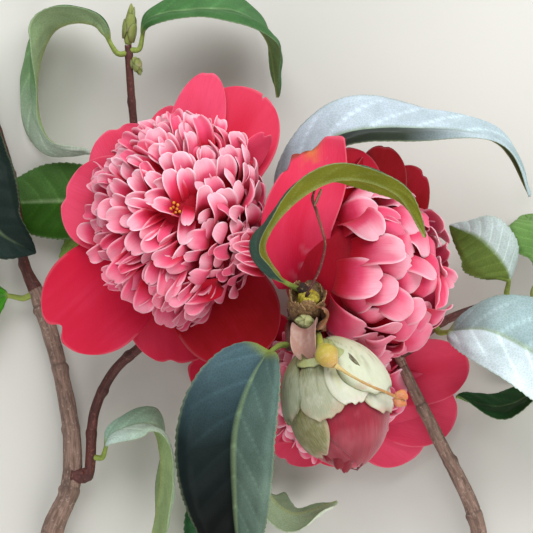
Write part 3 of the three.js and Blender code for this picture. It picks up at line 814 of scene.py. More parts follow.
def leaf_finish(name, roughness, coat):
    """Waxy leaf skin with a fine, faint net of veins."""
    f = Finish(name, Roughness=roughness, Coat_Weight=coat, Coat_Roughness=0.22)
    f.shader.inputs["Specular IOR Level"].default_value = 0.1
    cells = {"Vector": f.stretched((1.0, 1.0, 1.0)), "Scale": 1.05}
    net = f.add("ShaderNodeTexVoronoi", cells, feature="DISTANCE_TO_EDGE").outputs["Distance"]
    cloud = f.noise((0.1, 0.1, 1.0), detail=4.0)
    pale = f.blend(f.ramp(net, 0.0, 0.16, 0.1, 0.0), f.paint, (150, 156, 140), "DIVIDE")
    colour = f.blend(f.ramp(cloud, 0.4, 0.7, 0.0, 0.22), pale, (60, 84, 60), "MULTIPLY")
    f.set("Base Color", colour)
    f.set("Roughness", f.ramp(cloud, 0.3, 0.7, roughness - 0.05, roughness + 0.08))
    f.bump(f.ramp(net, 0.0, 0.3), 0.12, 0.0002)
    return f.material


def bark_finish(name, roughness, light, dark):
    """Fissured bark with paler flecks."""
    f = Finish(name, Roughness=roughness)
    streaks = f.noise((1.2, 1.2, 0.16), detail=6.0, roughness=0.65)
    flecks = f.noise((0.9, 0.9, 0.9), detail=3.0)
    worn = f.blend(f.ramp(streaks, 0.42, 0.62, 0.0, 0.75), f.paint, dark)
    colour = f.blend(f.ramp(flecks, 0.58, 0.7, 0.0, 0.6), worn, light)
    f.set("Base Color", colour)
    f.set("Roughness", f.ramp(streaks, 0.3, 0.7, roughness - 0.15, roughness + 0.1))
    f.bump(streaks, 0.7, 0.0008)
    return f.material


def silk_finish(name, roughness, vein):
    """Bud scales with silky hairs that lie along them."""
    f = Finish(name, Roughness=roughness, Sheen_Weight=0.1, Subsurface_Weight=0.08, Subsurface_Scale=0.002)
    f.shader.inputs["Specular IOR Level"].default_value = 0.25
    hairs = f.noise((4.0, 0.35, 2.3), detail=5.0, roughness=0.6)
    cloud = f.noise((0.4, 0.25, 1.3), detail=2.0)
    colour = f.blend(f.ramp(hairs, 0.48, 0.66, 0.0, 0.35), f.paint, vein)
    f.set("Base Color", f.blend(f.ramp(cloud, 0.5, 0.75, 0.0, 0.14), colour, (250, 248, 232)))
    f.set("Roughness", f.ramp(hairs, 0.3, 0.7, roughness - 0.1, roughness + 0.12))
    f.bump(hairs, 0.4, 0.0005)
    return f.material


def wood_finish(name):
    """Fresh cut wood with rings about its pith."""
    f = Finish(name, Roughness=0.75)
    fibre = f.noise((2.2, 2.2, 0.4), detail=5.0)
    distance = f.add("ShaderNodeVectorMath", {0: f.stretched((1.0, 1.0, 0.0))}, operation="LENGTH").outputs["Value"]
    wave = f.add("ShaderNodeMath", {0: distance, 1: 5.0}, operation="MULTIPLY").outputs["Value"]
    rings = f.add("ShaderNodeMath", {0: wave}, operation="SINE").outputs["Value"]
    ringed = f.blend(f.ramp(rings, -0.2, 1.0, 0.0, 0.45), (216, 196, 150), (176, 142, 96))
    pith = f.blend(f.ramp(distance, 0.5, 0.9, 1.0, 0.0), ringed, (134, 96, 58))
    f.set("Base Color", f.blend(f.ramp(fibre, 0.45, 0.7, 0.0, 0.5), pith, (160, 120, 76)))
    f.bump(fibre, 0.5, 0.0005)
    return f.material


def floor_finish():
    """Plain pale paper with a trace of tooth."""
    f = Finish("pale_floor", Roughness=0.85)
    tooth = f.add("ShaderNodeTexNoise", {"Scale": 40.0, "Detail": 3.0}).outputs["Fac"]
    f.set("Base Color", f.blend(f.ramp(tooth, 0.3, 0.7), (208, 206, 198), (214, 212, 205)))
    f.set("Roughness", f.ramp(tooth, 0.3, 0.7, 0.8, 0.9))
    return f.material


def ring_frames(route, places):
    """Centres and the two directions across a limb, turned as little as can be."""
    centres = route.at(places)
    tangents = route.along(places)
    across = np.zeros_like(centres)
    last = np.array([0.0, 0.0, 1.0])
    for i, along in enumerate(tangents):
        last = last - along * last.dot(along)
        if np.linalg.norm(last) < 0.2:
            last = np.array([1.0, 0, 0]) - along * along[0]
        last = last / np.linalg.norm(last)
        across[i] = last
    return centres, across, np.cross(across, tangents)


def limb_rings(route, places, radii, sides):
    """Rings of points round a limb. radii holds a radius for each ring and side."""
    centres, across, beside = ring_frames(route, places)
    turn = np.linspace(0, 2 * math.pi, sides, endpoint=False)
    way = across[:, None] * np.cos(turn)[None, :, None] + beside[:, None] * np.sin(turn)[None, :, None]
    return centres[:, None] + way * radii[..., None]


# Each kind of bark: its colour, how deep its relief is as a share of the radius, the spacing of
# its nodes in millimetres and how far they stand out
BARKS = {
    "old": dict(colour=(148, 120, 106), relief=0.05, nodes=23.0, swell=0.16),
    "young": dict(colour=(96, 44, 36), relief=0.035, nodes=17.0, swell=0.22),
    "scaly": dict(colour=(120, 96, 66), relief=0.08, nodes=3.2, swell=0.12),
}


def bark(shape, route, first, last, kind, seed, finish=0, ends=(0, 0)):
    """A limb with bark relief: wrinkles along it, pores and the rings of old leaf scars."""
    looks = BARKS[kind]
    run = np.interp([first, last], *[route.measured()[k] for k in (0, 1)])
    rings = max(8, int((run[1] - run[0]) / 0.8))
    places = np.interp(np.linspace(run[0], run[1], rings), route.measured()[1], route.measured()[0])
    distance = np.linspace(run[0], run[1], rings)
    sides = 24
    turn = np.linspace(0, 2 * math.pi, sides, endpoint=False)
    radius = route.radius(places)[:, None] * np.ones(sides)
    grain = np.stack(
        [np.cos(turn) * radius, np.sin(turn) * radius, np.repeat(distance[:, None], sides, axis=1)],
        -1,
    )
    wrinkles = lumps(grain * (1, 1, 0.12), 1.1, seed) + 0.5 * lumps(grain * (1, 1, 0.3), 0.6, seed + 1)
    pores = smooth(0.55, 0.8, lumps(grain * (1, 1, 0.8), 1.3, seed + 2))
    cycle = (distance / looks["nodes"] + 0.13 * seed) % 1
    side_of_scar = np.cos(turn - 2.4 * np.floor(distance / looks["nodes"] + 0.13 * seed)[:, None])
    near_node = np.exp(-(((cycle - 0.5) * looks["nodes"] / 1.6) ** 2))[:, None]
    scar = near_node * smooth(-0.2, 0.9, side_of_scar)
    line = np.exp(-(((cycle - 0.5) * looks["nodes"] - 1.7) ** 2) / 0.12)[:, None] * np.ones(sides)
    swelling = looks["relief"] * (wrinkles + 0.8 * pores) + looks["swell"] * (0.35 * near_node + scar) - 0.1 * line
    rings_at = limb_rings(route, places, radius * (1 + swelling), sides)
    base = linear(looks["colour"])
    colour = mix(base, base * 0.45, smooth(0.1, 1.1, -wrinkles))
    colour = mix(colour, base * 1.7 + 0.05, 0.5 * pores)
    colour = mix(colour, base * 0.35, 0.8 * line + 0.3 * scar)
    shape.tube(rings_at, colour, grain, finish, ends)


def collar(shape, name, first_point, kind, seed):
    """The flared foot of a branch, from inside its limb to the branch's first stretch."""
    parent, place, direction, radius = first_point
    limb = LIMBS[parent]
    foot, stub = (np.array(p[:3]) for p in seat_on(parent, place, direction, radius))
    inward = foot - unit(stub - foot) * (SEAT_GAP + 0.75 * limb.radius(place))
    after = LIMBS[name].at(2.0)
    route = Route([(*inward, radius * 1.9), (*foot, radius * 1.45), (*stub, radius * 1.12), (*mix(stub, after, 0.12), radius)])
    bark(shape, route, 0, route.last, kind, seed)


def small_tube(shape, points, paint, sides=10, rings=24, finish=0, wobble=0.06, seed=0):
    """A thin limb with colours that run from its foot to its tip."""
    route = Route(points)
    share = np.linspace(0, 1, rings)
    places = route.even(share)
    turn = np.linspace(0, 2 * math.pi, sides, endpoint=False)
    radius = route.radius(places)[:, None] * np.ones(sides)
    run = share[:, None] * route.length() * np.ones(sides)
    grain = np.stack([np.cos(turn) * radius, np.sin(turn) * radius, run], -1)
    radius = radius * (1 + wobble * lumps(grain, 0.9, seed))
    stops = np.linspace(0, 1, len(paint))
    colours = np.stack([np.interp(share, stops, linear(paint)[:, k]) for k in range(3)], -1)
    shape.tube(limb_rings(route, places, radius, sides), colours[:, None] * np.ones((1, sides, 1)), grain, finish)


def blade_frames(route, side, share):
    """Centre, right-hand direction, upper direction and way along a blade, at shares of its length."""
    places = route.even(share)
    along = route.along(places)
    across = mix(side[0], side[1], share)
    across = unit(across - along * np.sum(across * along, axis=-1, keepdims=True))
    return route.at(places), across, np.cross(across, along)


# Points along and across a leaf, how its outline swells, and the colours of its ribs and margin
LEAF_ROWS = 150
LEAF_COLUMNS = 27
LEAF_BELLY = 0.9
LEAF_ROUNDNESS = 0.75
PETIOLE_LENGTH = 8.0
PETIOLE_SHARE = 0.2
RIB_GREEN = (132, 154, 108)
RIB_GREEN_UNDER = (178, 190, 116)
MARGIN_GREEN = (150, 166, 128)
STALK_GREEN = (136, 152, 74)


def stops(colours, share):
    """A colour for each share, from colours that are spread evenly."""
    places = np.linspace(0, 1, len(colours))
    table = linear(colours)
    return np.stack([np.interp(share, places, table[:, k]) for k in range(3)], -1)


def leaf(name, finishes, sizes, seed):
    """A stalked, toothed and glossy leaf that replaces the plain one."""
    looks = LEAVES[name]
    limb, place, out = looks["on"]
    seat = [np.array(p[:3]) for p in seat_on(limb, place, out, sizes.petiole)]
    inward = seat[0] - unit(seat[1] - seat[0]) * (SEAT_GAP + 0.4 * LIMBS[limb].radius(place))
    route = Route([tuple(p) for p in seat] + list(looks["midrib"]))
    length = route.length()
    petiole = min(PETIOLE_SHARE, PETIOLE_LENGTH / length)
    share = np.linspace(0, 1, LEAF_ROWS)
    centre, across, up = blade_frames(route, looks["side"], share)
    centre = centre + (inward - centre[0]) * smooth(0.03, 0.0, share)[:, None]
    blade = np.clip((share - petiole) / (1 - petiole), 0, 1)
    belly = looks.get("belly", LEAF_BELLY)
    half = looks["width"] / 2 * np.maximum(np.sin(math.pi * blade**belly), 0) ** LEAF_ROUNDNESS
    stalk = sizes.petiole * (1 - 0.25 * smooth(0, petiole, share))
    half = np.maximum(half, stalk * smooth(1, 0.9, blade) + 0.1)[:, None]
    even = np.linspace(-1, 1, LEAF_COLUMNS)
    u = 0.65 * even + 0.35 * np.sin(even * math.pi / 2)
    edge = np.abs(u)
    x = u * half
    is_blade = smooth(0.0, 0.05, blade)[:, None]
    run = share[:, None] * length + 0 * u
    grain = np.stack([x, run, np.full_like(x, seed)], -1)
    tooth = (run / sizes.tooth_pitch) % 1 - 0.5
    teeth = sizes.tooth_depth * tooth * edge**10 * is_blade * smooth(1, 0.93, blade)[:, None]
    phase = (blade[:, None] - 0.17 * edge**1.15) * sizes.vein_pairs
    gap = np.abs(phase - np.round(phase))
    shade = lumps(grain, 14, seed)
    vein = np.exp(-((gap / 0.06) ** 2)) * smooth(1.0, 0.55, edge) * is_blade
    rib = np.exp(-((x / (0.22 + 0.2 * (1 - blade[:, None]))) ** 2)) * is_blade
    quilt = 0.36 * (np.sin(math.pi * gap) ** 2) * smooth(0.0, 0.2, edge) * smooth(1.0, 0.75, edge)
    fold = np.where(u < 0, looks["fold"][0], looks["fold"][1])
    wave = 0.9 * np.sin(share * 17 + seed)[:, None] * edge**3 + 0.5 * shade * edge**2
    lift = half * (edge * np.sin(fold) + 0.06 * edge**2) + is_blade * (quilt - 0.3 * rib + wave)
    lift = lift - half * 0.12 * smooth(0.75, 1.0, edge) * is_blade
    over = x * np.cos(fold) + np.sign(u) * teeth
    middle = centre[:, None] + across[:, None] * over[..., None] + up[:, None] * lift[..., None]
    round_stalk = 2 * stalk[:, None] * np.sqrt(np.clip(1 - (u * 0.96) ** 2, 0.02, 1))
    flat = sizes.leaf_thickness * (1 - 0.6 * smooth(0.7, 1.0, edge))
    thick = round_stalk * (1 - is_blade) + flat * is_blade
    ridge = (0.75 * rib * smooth(1.0, 0.2, blade)[:, None] + 0.12 * vein) * is_blade
    along = blade[:, None] + 0.06 * shade
    top = mix(stops(looks["left"], along), stops(looks["right"], along), smooth(-0.03, 0.03, u) + 0 * x)
    top = top * (1 + 0.12 * shade)[..., None]
    rib_colour = mix(linear(RIB_GREEN), top, 0.2)
    top = mix(top, rib_colour, 0.8 * rib * smooth(1.0, 0.6, blade)[:, None])
    top = top * (1 + 0.4 * vein)[..., None]
    top = mix(top, linear(MARGIN_GREEN), 0.3 * smooth(0.985, 1.0, edge) * is_blade)
    under = linear(looks["under"])
    bottom = mix(under, under * 0.8, smooth(-0.3, 0.8, shade))
    bottom = mix(bottom, linear(RIB_GREEN_UNDER), 0.6 * rib + 0.15 * vein)
    bottom = mix(bottom, linear(MARGIN_GREEN), 0.5 * smooth(0.965, 1.0, edge) * is_blade)
    top = mix(linear(STALK_GREEN), top, is_blade + 0 * x)
    bottom = mix(linear(STALK_GREEN), bottom, is_blade + 0 * x)
    shape = Shape()
    shape.sheet(middle, thick, top, bottom, grain, (0, 1), ridge)
    return shape.build(name + "_blade", finishes, (name,))


# The share of a petal's rows that lie below its waist
BELOW_WAIST = 0.55


def petal_grid(outline, grid):
    """Place across, reach along, breadth and nearness to the end, for each point of a petal."""
    claw, waist, end, notches = outline
    rows, columns = grid
    row = np.linspace(0, 1, rows)[:, None]
    u = np.linspace(-1, 1, columns)[None, :] + 0 * row
    opening = np.clip(row / BELOW_WAIST, 0, 1)
    closing = math.acos(end) * np.clip((row - BELOW_WAIST) / (1 - BELOW_WAIST), 0, 1)
    breadth = (claw + (1 - claw) * np.sin(math.pi / 2 * opening)) * np.cos(closing) + 0 * u
    arc = np.sin(closing) / math.sqrt(1 - end**2) + 0 * u
    reach = waist * opening + (1 - waist) * arc * np.sqrt(1 - (u * end) ** 2)
    if callable(notches):
        return u, reach - notches(u) * arc**4, breadth, arc
    for at, spread, depth in notches:
        reach = reach - depth * np.exp(-(((u - at) / spread) ** 2)) * arc**4
    return u, reach, breadth, arc


def petal(shape, spine, across, width, outline, curve, paint, seed, grid, thick, finish=0):
    """A petal along a spine, widest at its waist and round at its end.

    outline is the claw's share of the width, the waist's share of the length, the end's share of
    the width and a list of notches: place across the end, width and depth. curve is how far the
    margins rise, how deep the waves are and how far the end bends down.
    """
    cup, ruffle, curl = curve
    u, reach, breadth, arc = petal_grid(outline, grid)
    half = width / 2 * breadth
    route = Route(spine)
    places, run = route.measured()
    length = run[-1]
    place = np.interp(reach, run / length, places)
    centre = route.at(place)
    along = route.along(place)
    side = np.broadcast_to(across, centre.shape)
    side = unit(side - along * np.sum(side * along, axis=-1, keepdims=True))
    up = np.cross(side, along)
    x = u * half
    grain = np.stack([x, reach * length, np.full_like(x, seed * 7.3)], -1)
    waves = ruffle * lumps(grain, width * 0.6, seed) * smooth(0.25, 0.9, reach) * (0.3 + u**2)
    lift = cup * half * u**2 + waves - curl * smooth(0.55, 1.05, reach)
    middle = centre + side * x[..., None] + up * lift[..., None]
    thin = thick * (1 - 0.55 * smooth(0.8, 1.0, np.maximum(np.abs(u), arc)))
    top, under = paint(u, reach, arc, grain)
    shape.sheet(middle, thin, top, under, grain, (finish, finish))


def petaloid_paint(colours, light_paleness, rim_only=0.0):
    """Deep at the foot, rosy in the spoon and nearly white towards the rim. The deep foot is partly the petal's own
    colour and partly painted shade between the petals. light_paleness is painted light: how far the pale tip and rim
    show, higher on petals that face the light.
    """
    deep, rose, blush = (linear(c) for c in colours)

    def paint(u, share, arc, grain):
        cloud = lumps(grain, 3.2, 5)
        body = mix(deep, rose, smooth(0.45, 0.8, share + 0.05 * cloud))
        tip = smooth(0.66, 0.98, share + 0.08 * cloud)
        margin = smooth(0.75, 1.0, np.abs(u)) * smooth(0.45, 0.8, share)
        # Painted light: light_paleness sets how far the pale tip and rim show.
        pale = light_paleness * ((1 - rim_only) * (0.64 * tip + 0.1 * margin * (1 - tip)) + 0.26 * margin)
        rim = smooth(0.93, 1.0, np.maximum(np.abs(u) * smooth(0.4, 0.7, share), arc))
        top = mix(body, blush, np.clip(pale + 0.2 * rim, 0, 1))
        under = mix(mix(deep, rose, smooth(0.2, 0.6, share)), blush, np.clip(0.55 * pale + 0.4 * rim, 0, 1))
        return top, under

    return paint


def guard_paint(colours, tone, rim=0.18, torn=False):
    """A smooth petal that deepens towards its claw and is a little paler along its margin.

    colours run from rosy to crimson, and last comes the margin's. tone is from 0 to 1; on the guard petals it is
    painted shade, from lit to deep shade.
    """
    pale = linear(colours[-1])

    def paint(u, share, arc, grain):
        cloud = lumps(grain, 12, 3)
        streak = lumps(grain * (1, 0.08, 1), 1.6, 9)
        channel = np.exp(-(((u - 0.2 * cloud) / 0.3) ** 2)) * smooth(1.0, 0.6, share)
        depth = tone + 0.14 * cloud + 0.05 * streak + 0.3 * smooth(0.55, 0.1, share) + 0.16 * channel
        body = stops(colours[:-1], depth)
        margin = smooth(0.94, 1.0, np.maximum(np.abs(u) * smooth(0.3, 0.6, share), arc))
        top = mix(body, pale, rim * margin + 0.02 * smooth(0.4, 1.0, share))
        if torn:
            top = scorched(top, u, share, arc, grain)
        under = mix(stops(colours[:-1], 0.8 * depth), pale, 0.12 + 0.1 * margin)
        return top, under

    return paint


def scorched(colour, u, share, arc, grain):
    """Browned torn end, a stain behind it and a few pale scratches."""
    fine = lumps(grain, 1.6, 21)
    stain = smooth(0.62, 0.86, arc + 0.12 * fine) * np.exp(-(((u + 0.12) / 0.24) ** 2))
    colour = mix(colour, linear((204, 128, 50)), 0.65 * stain)
    corner = smooth(-0.45, -0.7, u) * smooth(0.86, 0.95, arc)
    brown = np.maximum(smooth(0.93, 0.98, arc + 0.03 * fine) * smooth(0.6, -0.3, u), corner)
    colour = mix(colour, linear((104, 62, 34)), 0.85 * brown)
    near = np.exp(-(((u - 0.1) / 0.3) ** 2) - ((share - 0.34) / 0.07) ** 2)
    scratches = smooth(0.25, 0.6, lumps(grain * (0.5, 2.2, 1), 1.1, 22)) * near
    return mix(colour, linear((214, 176, 196)), 0.75 * scratches)


def bloom_frame(looks):
    """Directions of a bloom, and the rule that places a point by azimuth, reach and rise."""
    foot = np.array(looks["base"], float)
    up = unit(np.array(looks["axis"], float))
    first = np.array(looks["zero"], float)
    first = unit(first - up * first.dot(up))
    second = np.cross(up, first)

    def place(azimuth, reach, rise):
        return foot + (first * math.cos(azimuth) + second * math.sin(azimuth)) * reach + up * rise

    return foot, up, first, second, place


def bare_from(looks, azimuth):
    """How far down a dome its inner petals go at an azimuth, as an angle from its top."""
    turn, limit = looks["bare"]
    towards = max(0.0, math.cos(azimuth - math.radians(turn)))
    return math.pi - (math.pi - math.radians(limit)) * towards**0.5


def inner_petals(name, material, sizes, colours):
    """The dome of spoon-shaped inner petals, over a deep red heart that is painted shade for the gaps between them."""
    looks = BLOOMS[name]
    foot, up, first, second, place = bloom_frame(looks)
    count, width, length = looks["inner"]
    radius = looks["radius"]
    centre = place(0, 0, looks["height"] - radius) + second * looks["move"] + first * looks["aside"]
    pole = unit(up + first * looks["middle"][0] + second * looks["middle"][1])
    near = unit(first - pole * first.dot(pole))
    left = np.cross(pole, near)
    light = unit(np.array(looks["light"], float))
    turns, leans = np.array(looks["lean"], float).T
    rng = np.random.RandomState(looks["seed"])
    shape = Shape()

    def dome(out, share):
        swell = second * (looks["stretch"] - 1) + first * looks["slant"]
        return centre + radius * share * (out + swell * np.sum(out * second, axis=-1, keepdims=True))

    turn = np.linspace(0, 2 * math.pi, 28, endpoint=False)
    levels = np.linspace(0.04, 0.97, 16)[:, None, None] * math.pi
    around = first * np.cos(turn)[:, None] + second * np.sin(turn)[:, None]
    # The heart is painted darker than the petal foot: painted shade that shows in the gaps between the petals.
    heart = dome(around * np.sin(levels) - up * np.cos(levels), 1 - 0.34 * length / radius)
    shape.tube(heart, linear(colours[0]) * 0.75, heart)
    for root, end, side, breadth, cup in looks.get("stray", ()):
        root, end = np.array(root, float), np.array(end, float)
        out = unit((root + end) / 2 - centre)
        spine = [root - out * 6, root, (root + end) / 2 + out * 0.8, end]
        paint = petaloid_paint(colours, 0.95, 0.4)
        stray_outline = (0.5, 0.66, 0.5, ())
        petal(shape, spine, np.array(side, float), breadth, stray_outline, (cup, 0.5, 0.4), paint, 7, (17, 13), sizes.petal_thickness)
    for k in range(looks["pit"], count):
        slope = math.acos(1 - 1.18 * (k + 0.9) / count) + rng.uniform(-0.05, 0.05)
        azimuth = (k * GOLDEN_ANGLE + rng.uniform(-0.12, 0.12)) % (2 * math.pi)
        ring = near * math.cos(azimuth) + left * math.sin(azimuth)
        if slope > bare_from(looks, azimuth):
            continue
        out = pole * math.cos(slope) + ring * math.sin(slope)
        away = ring * math.cos(slope) - pole * math.sin(slope)
        beside = np.cross(out, away)
        lean = math.radians(np.interp(math.degrees(azimuth), turns, leans) * float(smooth(0.05, 0.5, slope)))
        lean = lean + rng.uniform(-1, 1) * (looks["wild"] + 1.2 * float(smooth(0.45, 0.15, slope)))
        ahead = away * math.cos(lean) + beside * math.sin(lean)
        inward = 0.5 - 0.5 * math.cos(lean)
        size = rng.uniform(0.7, 1.22) * (1 - 0.22 * float(smooth(0.5, 0.15, slope)))
        reach = length * (0.72 + 0.3 * size)
        at = dome(out, 1.0) + out * rng.uniform(-2.6, 0.9)
        stand = (1 - inward) * 0.1 + rng.uniform(-0.06, 0.1)
        spine = [
            at - ahead * 0.42 * reach - out * 0.75 * reach,
            at - ahead * 0.3 * reach - out * (0.28 + stand) * reach,
            at - ahead * 0.08 * reach - out * (0.05 + 0.5 * stand) * reach,
            at + ahead * 0.2 * reach - out * (0.09 * inward - 0.3 * stand) * reach,
        ]
        twist = rng.uniform(-0.5, 0.5)
        across = np.cross(ahead, out) * math.cos(twist) + out * math.sin(twist)
        folded = rng.uniform() < 0.2
        cup = 0.26 * math.cos(lean) + 0.16 + rng.uniform(-0.3, 0.3)
        notch = (rng.uniform(-0.5, 0.5), 0.22, rng.uniform(-0.03, 0.07))
        outline = (0.4, rng.uniform(0.66, 0.76), rng.uniform(0.45, 0.6), (notch,))
        curve = (cup * (2.4 if folded else 1.0), rng.uniform(0.5, 1.7), length * rng.uniform(-0.15, 0.04))
        # Painted light: petals that face the bloom's light direction get paler tips and rims.
        light_paleness = 0.5 + 0.5 * float(smooth(-0.35, 0.85, out.dot(light))) + rng.uniform(-0.1, 0.08)
        paint = petaloid_paint(colours, light_paleness, 0.8 if folded else 0.0)
        breadth = width * size * (0.7 if folded else 1.0)
        petal(shape, spine, across, breadth, outline, curve, paint, k + 1, (16, 11), sizes.petal_thickness)
    return shape.build(name + "_inner_petals", [material], (name,))


# How far a guard petal's margins rise, how deep its waves are and how far its end bends down, and
# the points along and across it
GUARD_CURVE = (0.1, 2.4, 0.6)
GUARD_GRID = (46, 37)


def guard_petals(name, material, sizes, colours):
    """The broad petals that stand out round the dome."""
    looks = BLOOMS[name]
    foot, up, first, second, place = bloom_frame(looks)
    shape = Shape()
    for k, (degrees, length, width, rise, turn, tone, notch, spread, depth) in enumerate(looks["guards"]):
        azimuth = math.radians(degrees)
        twist = math.radians(turn)
        reach = math.sqrt(length * length - rise * rise)
        spine = [place(azimuth, 2, 0), place(azimuth, reach * 0.5, rise * 0.35 + 4), place(azimuth, reach, rise)]
        across = place(azimuth - math.pi / 2, math.cos(twist), math.sin(twist)) - foot
        outline = (0.34, 0.62, 0.45, ((notch, spread, depth),))
        seed = 100 + 10 * looks["seed"] + k
        # The tone paints this guard petal's shade: 0 where it lies in the light, 1 in deep shade.
        paint = guard_paint(colours, tone, 0.22)
        petal(shape, spine, across, width, outline, GUARD_CURVE, paint, seed, GUARD_GRID, sizes.petal_thickness)
    if TORN_GUARD["bloom"] == name:
        spine = [np.array(p, float) for p in TORN_GUARD["midrib"]]
        across = np.array(TORN_GUARD["side"], float)
        outline = (0.3, 0.6, 0.84, lambda u: np.interp(u, *TORN_GUARD["edge"]))
        paint = guard_paint(colours, 0.26, 0.22, True)
        width = TORN_GUARD["width"]
        petal(shape, spine, across, width, outline, GUARD_CURVE, paint, 331, GUARD_GRID, sizes.petal_thickness)
    return shape.build(name + "_guard_petals", [material], (name,))


def calyx(name, finish, sizes):
    """The stalk of a bloom and the green scales under it."""
    looks = BLOOMS[name]
    foot, up, first, second, place = bloom_frame(looks)
    limb, at, out = looks["on"]
    shape = Shape()
    seat = seat_on(limb, at, out, 1.6)
    points = seat + [(*place(0, 0, -CALYX_DEPTH), 2.6), (*place(0, 0, -1), 5.2), (*place(0, 0, 2.5), 4.5)]
    small_tube(shape, points, ((110, 92, 60), (130, 140, 80), (120, 130, 70)), sides=16, rings=40, seed=looks["seed"])
    green = (linear((128, 142, 78)), linear((96, 108, 52)), linear((176, 160, 110)))

    def paint(u, share, arc, grain):
        body = mix(green[0], green[1], np.clip(0.5 + 0.5 * lumps(grain, 3, 2), 0, 1))
        body = mix(body, green[2], smooth(0.8, 1.0, np.abs(u)))
        return body, body

    for k in range(9):
        azimuth = k * GOLDEN_ANGLE
        spread = 7 + 0.35 * k
        spine = [place(azimuth, 2.0, -CALYX_DEPTH), place(azimuth, spread * 0.75, -2.2), place(azimuth, spread + 2.5, 0.6)]
        across = place(azimuth - math.pi / 2, 1, 0) - foot
        petal(shape, spine, across, 8.5, (0.5, 0.5, 0.35, ()), (0.25, 0.3, -0.6), paint, k, (11, 9), 0.5)
    return shape.build(name + "_calyx", [finish], (name,))


# How many stamens show, and a stamen's head: height and radius
STAMEN_COUNT = 8
STAMEN_HEAD = ((-0.2, 0.2), (0.4, 0.55), (1.4, 0.5), (1.9, 0.15))


def stamens(name, finish, count):
    """Golden stamens deep between the inner petals at the middle of a bloom."""
    looks = BLOOMS[name]
    foot, up, first, second, place = bloom_frame(looks)
    centre = place(0, 0, looks["height"] - looks["radius"]) + second * looks["move"] + first * looks["aside"]
    pole = unit(up + first * looks["middle"][0] + second * looks["middle"][1])
    near = unit(first - pole * first.dot(pole))
    left = np.cross(pole, near)
    rng = np.random.RandomState(looks["seed"] + 1)
    shape = Shape()
    for k in range(count):
        azimuth = k * GOLDEN_ANGLE
        ring = (near * math.cos(azimuth) + left * math.sin(azimuth)) * math.sqrt(k + 0.5)
        reach = looks["radius"] * (0.9 + rng.uniform(-0.06, 0.03))
        root = centre + ring * 0.3 + pole * looks["radius"] * 0.4
        top = centre + ring * 0.75 + pole * reach
        middle = (root + top) / 2 + ring * rng.uniform(-0.3, 0.3)
        points = [(*root, 0.25), (*middle, 0.22), (*top, 0.2)]
        small_tube(shape, points, ((236, 120, 90), (244, 170, 90)), sides=5, rings=6, seed=k)
        head = [(*(top + pole * rise), fat) for rise, fat in STAMEN_HEAD]
        small_tube(shape, head, ((204, 112, 24), (232, 160, 40)), sides=6, rings=7, seed=k)
    return shape.build(name + "_stamens", [finish])


def bud_surface(profile):
    """Radius of a bud against the way down its axis."""
    route = Route([(r, y, 0) for r, y in profile])
    line = route.at(np.linspace(0, route.last, 200))
    down = np.maximum.accumulate(line[:, 1])
    return lambda y: np.maximum(np.interp(y, down, line[:, 0]), 0.02)


def bud_scale(shape, frame_of, radius_at, spec, paint, seed, thick, finish=0, grid=(30, 25)):
    """A scale that wraps a bud: azimuth, start and end down the axis, half angle, lift, how far its
    end stands off, and the end's share of its width."""
    azimuth, start, end, half_angle, lift, flare, blunt = spec
    foot, axis, first, second = frame_of
    notches = ((0.35 * math.sin(seed * 2.3), 0.1, 0.03), (-0.5 * math.cos(seed), 0.16, 0.02))
    u, reach, breadth, arc = petal_grid((0.6, 0.5, blunt, notches), grid)
    reach = reach - (0.02 * np.sin(8 * u + seed) + 0.005 * np.sin(19 * u + 2 * seed)) * arc**4
    down = start + (end - start) * reach
    angle = math.radians(azimuth) + math.radians(half_angle) * u * breadth
    at = np.stack([3 * u, 3 * reach, np.full_like(u, seed)], -1)
    out = radius_at(down) + lift + flare * reach**3 + 0.3 * lumps(at, 1.1, seed) * reach
    out = out - 0.3 * np.abs(u) ** 4 * (1 - reach)
    way = first * np.cos(angle)[..., None] + second * np.sin(angle)[..., None]
    middle = foot + axis * down[..., None] + way * out[..., None]
    width = math.radians(half_angle) * out * breadth
    grain = np.stack([u * width, reach * (end - start), np.full_like(out, seed * 2.1)], -1)
    top, under = paint(u, reach, arc, grain)
    thin = thick * (1 - 0.6 * smooth(0.8, 1.0, np.maximum(np.abs(u), arc)))
    flip = (slice(None), slice(None, None, -1))
    shape.sheet(middle[flip], thin[flip], top[flip], under[flip], grain[flip], (finish, finish))


def scale_paint(body, margin, foot_colour, tip, rim_from=0.8):
    """A scale with its own colours at the foot, at the end and along its margin."""
    body, margin, foot_colour, tip = (linear(c) for c in (body, margin, foot_colour, tip))

    def paint(u, share, arc, grain):
        cloud = lumps(grain, 4.0, 4)
        colour = mix(foot_colour, body, smooth(0.0, 0.4, share + 0.12 * cloud))
        colour = mix(colour, tip, smooth(0.6, 1.0, arc * share + 0.08 * cloud))
        streaks = smooth(0.2, 0.7, lumps(grain * (1, 0.09, 1), 0.9, 8))
        colour = mix(colour, foot_colour, 0.5 * streaks * smooth(1.0, 0.4, share))
        veins = smooth(0.3, 0.7, lumps(grain * (1, 0.06, 1), 0.6, 12))
        colour = mix(colour, linear(BUD_OLIVE), 0.75 * veins * smooth(0.9, 0.1, share))
        stains = smooth(0.3, 0.8, lumps(grain, 2.8, 13)) * smooth(0.4, 0.9, share)
        colour = mix(colour, linear(BUD_PINK), 0.4 * stains)
        colour = mix(colour, margin, 0.85 * smooth(rim_from, 1.0, np.abs(u)))
        colour = mix(colour, margin, 0.75 * smooth(0.88, 1.0, arc + 0.04 * cloud))
        colour = mix(colour, margin * 0.4, 0.6 * smooth(0.985, 1.0, np.maximum(np.abs(u), arc)))
        return colour, colour * 0.8

    return paint


def axis_frame(foot, tip):
    """A bud's foot and axis, with azimuth 0 to the photo's right-hand side and 90 up."""
    foot, tip = np.array(foot, float), np.array(tip, float)
    axis = unit(tip - foot)
    upward = np.array([0, 0, 1.0])
    upward = unit(upward - axis * axis[2])
    return foot, axis, np.cross(upward, axis), upward


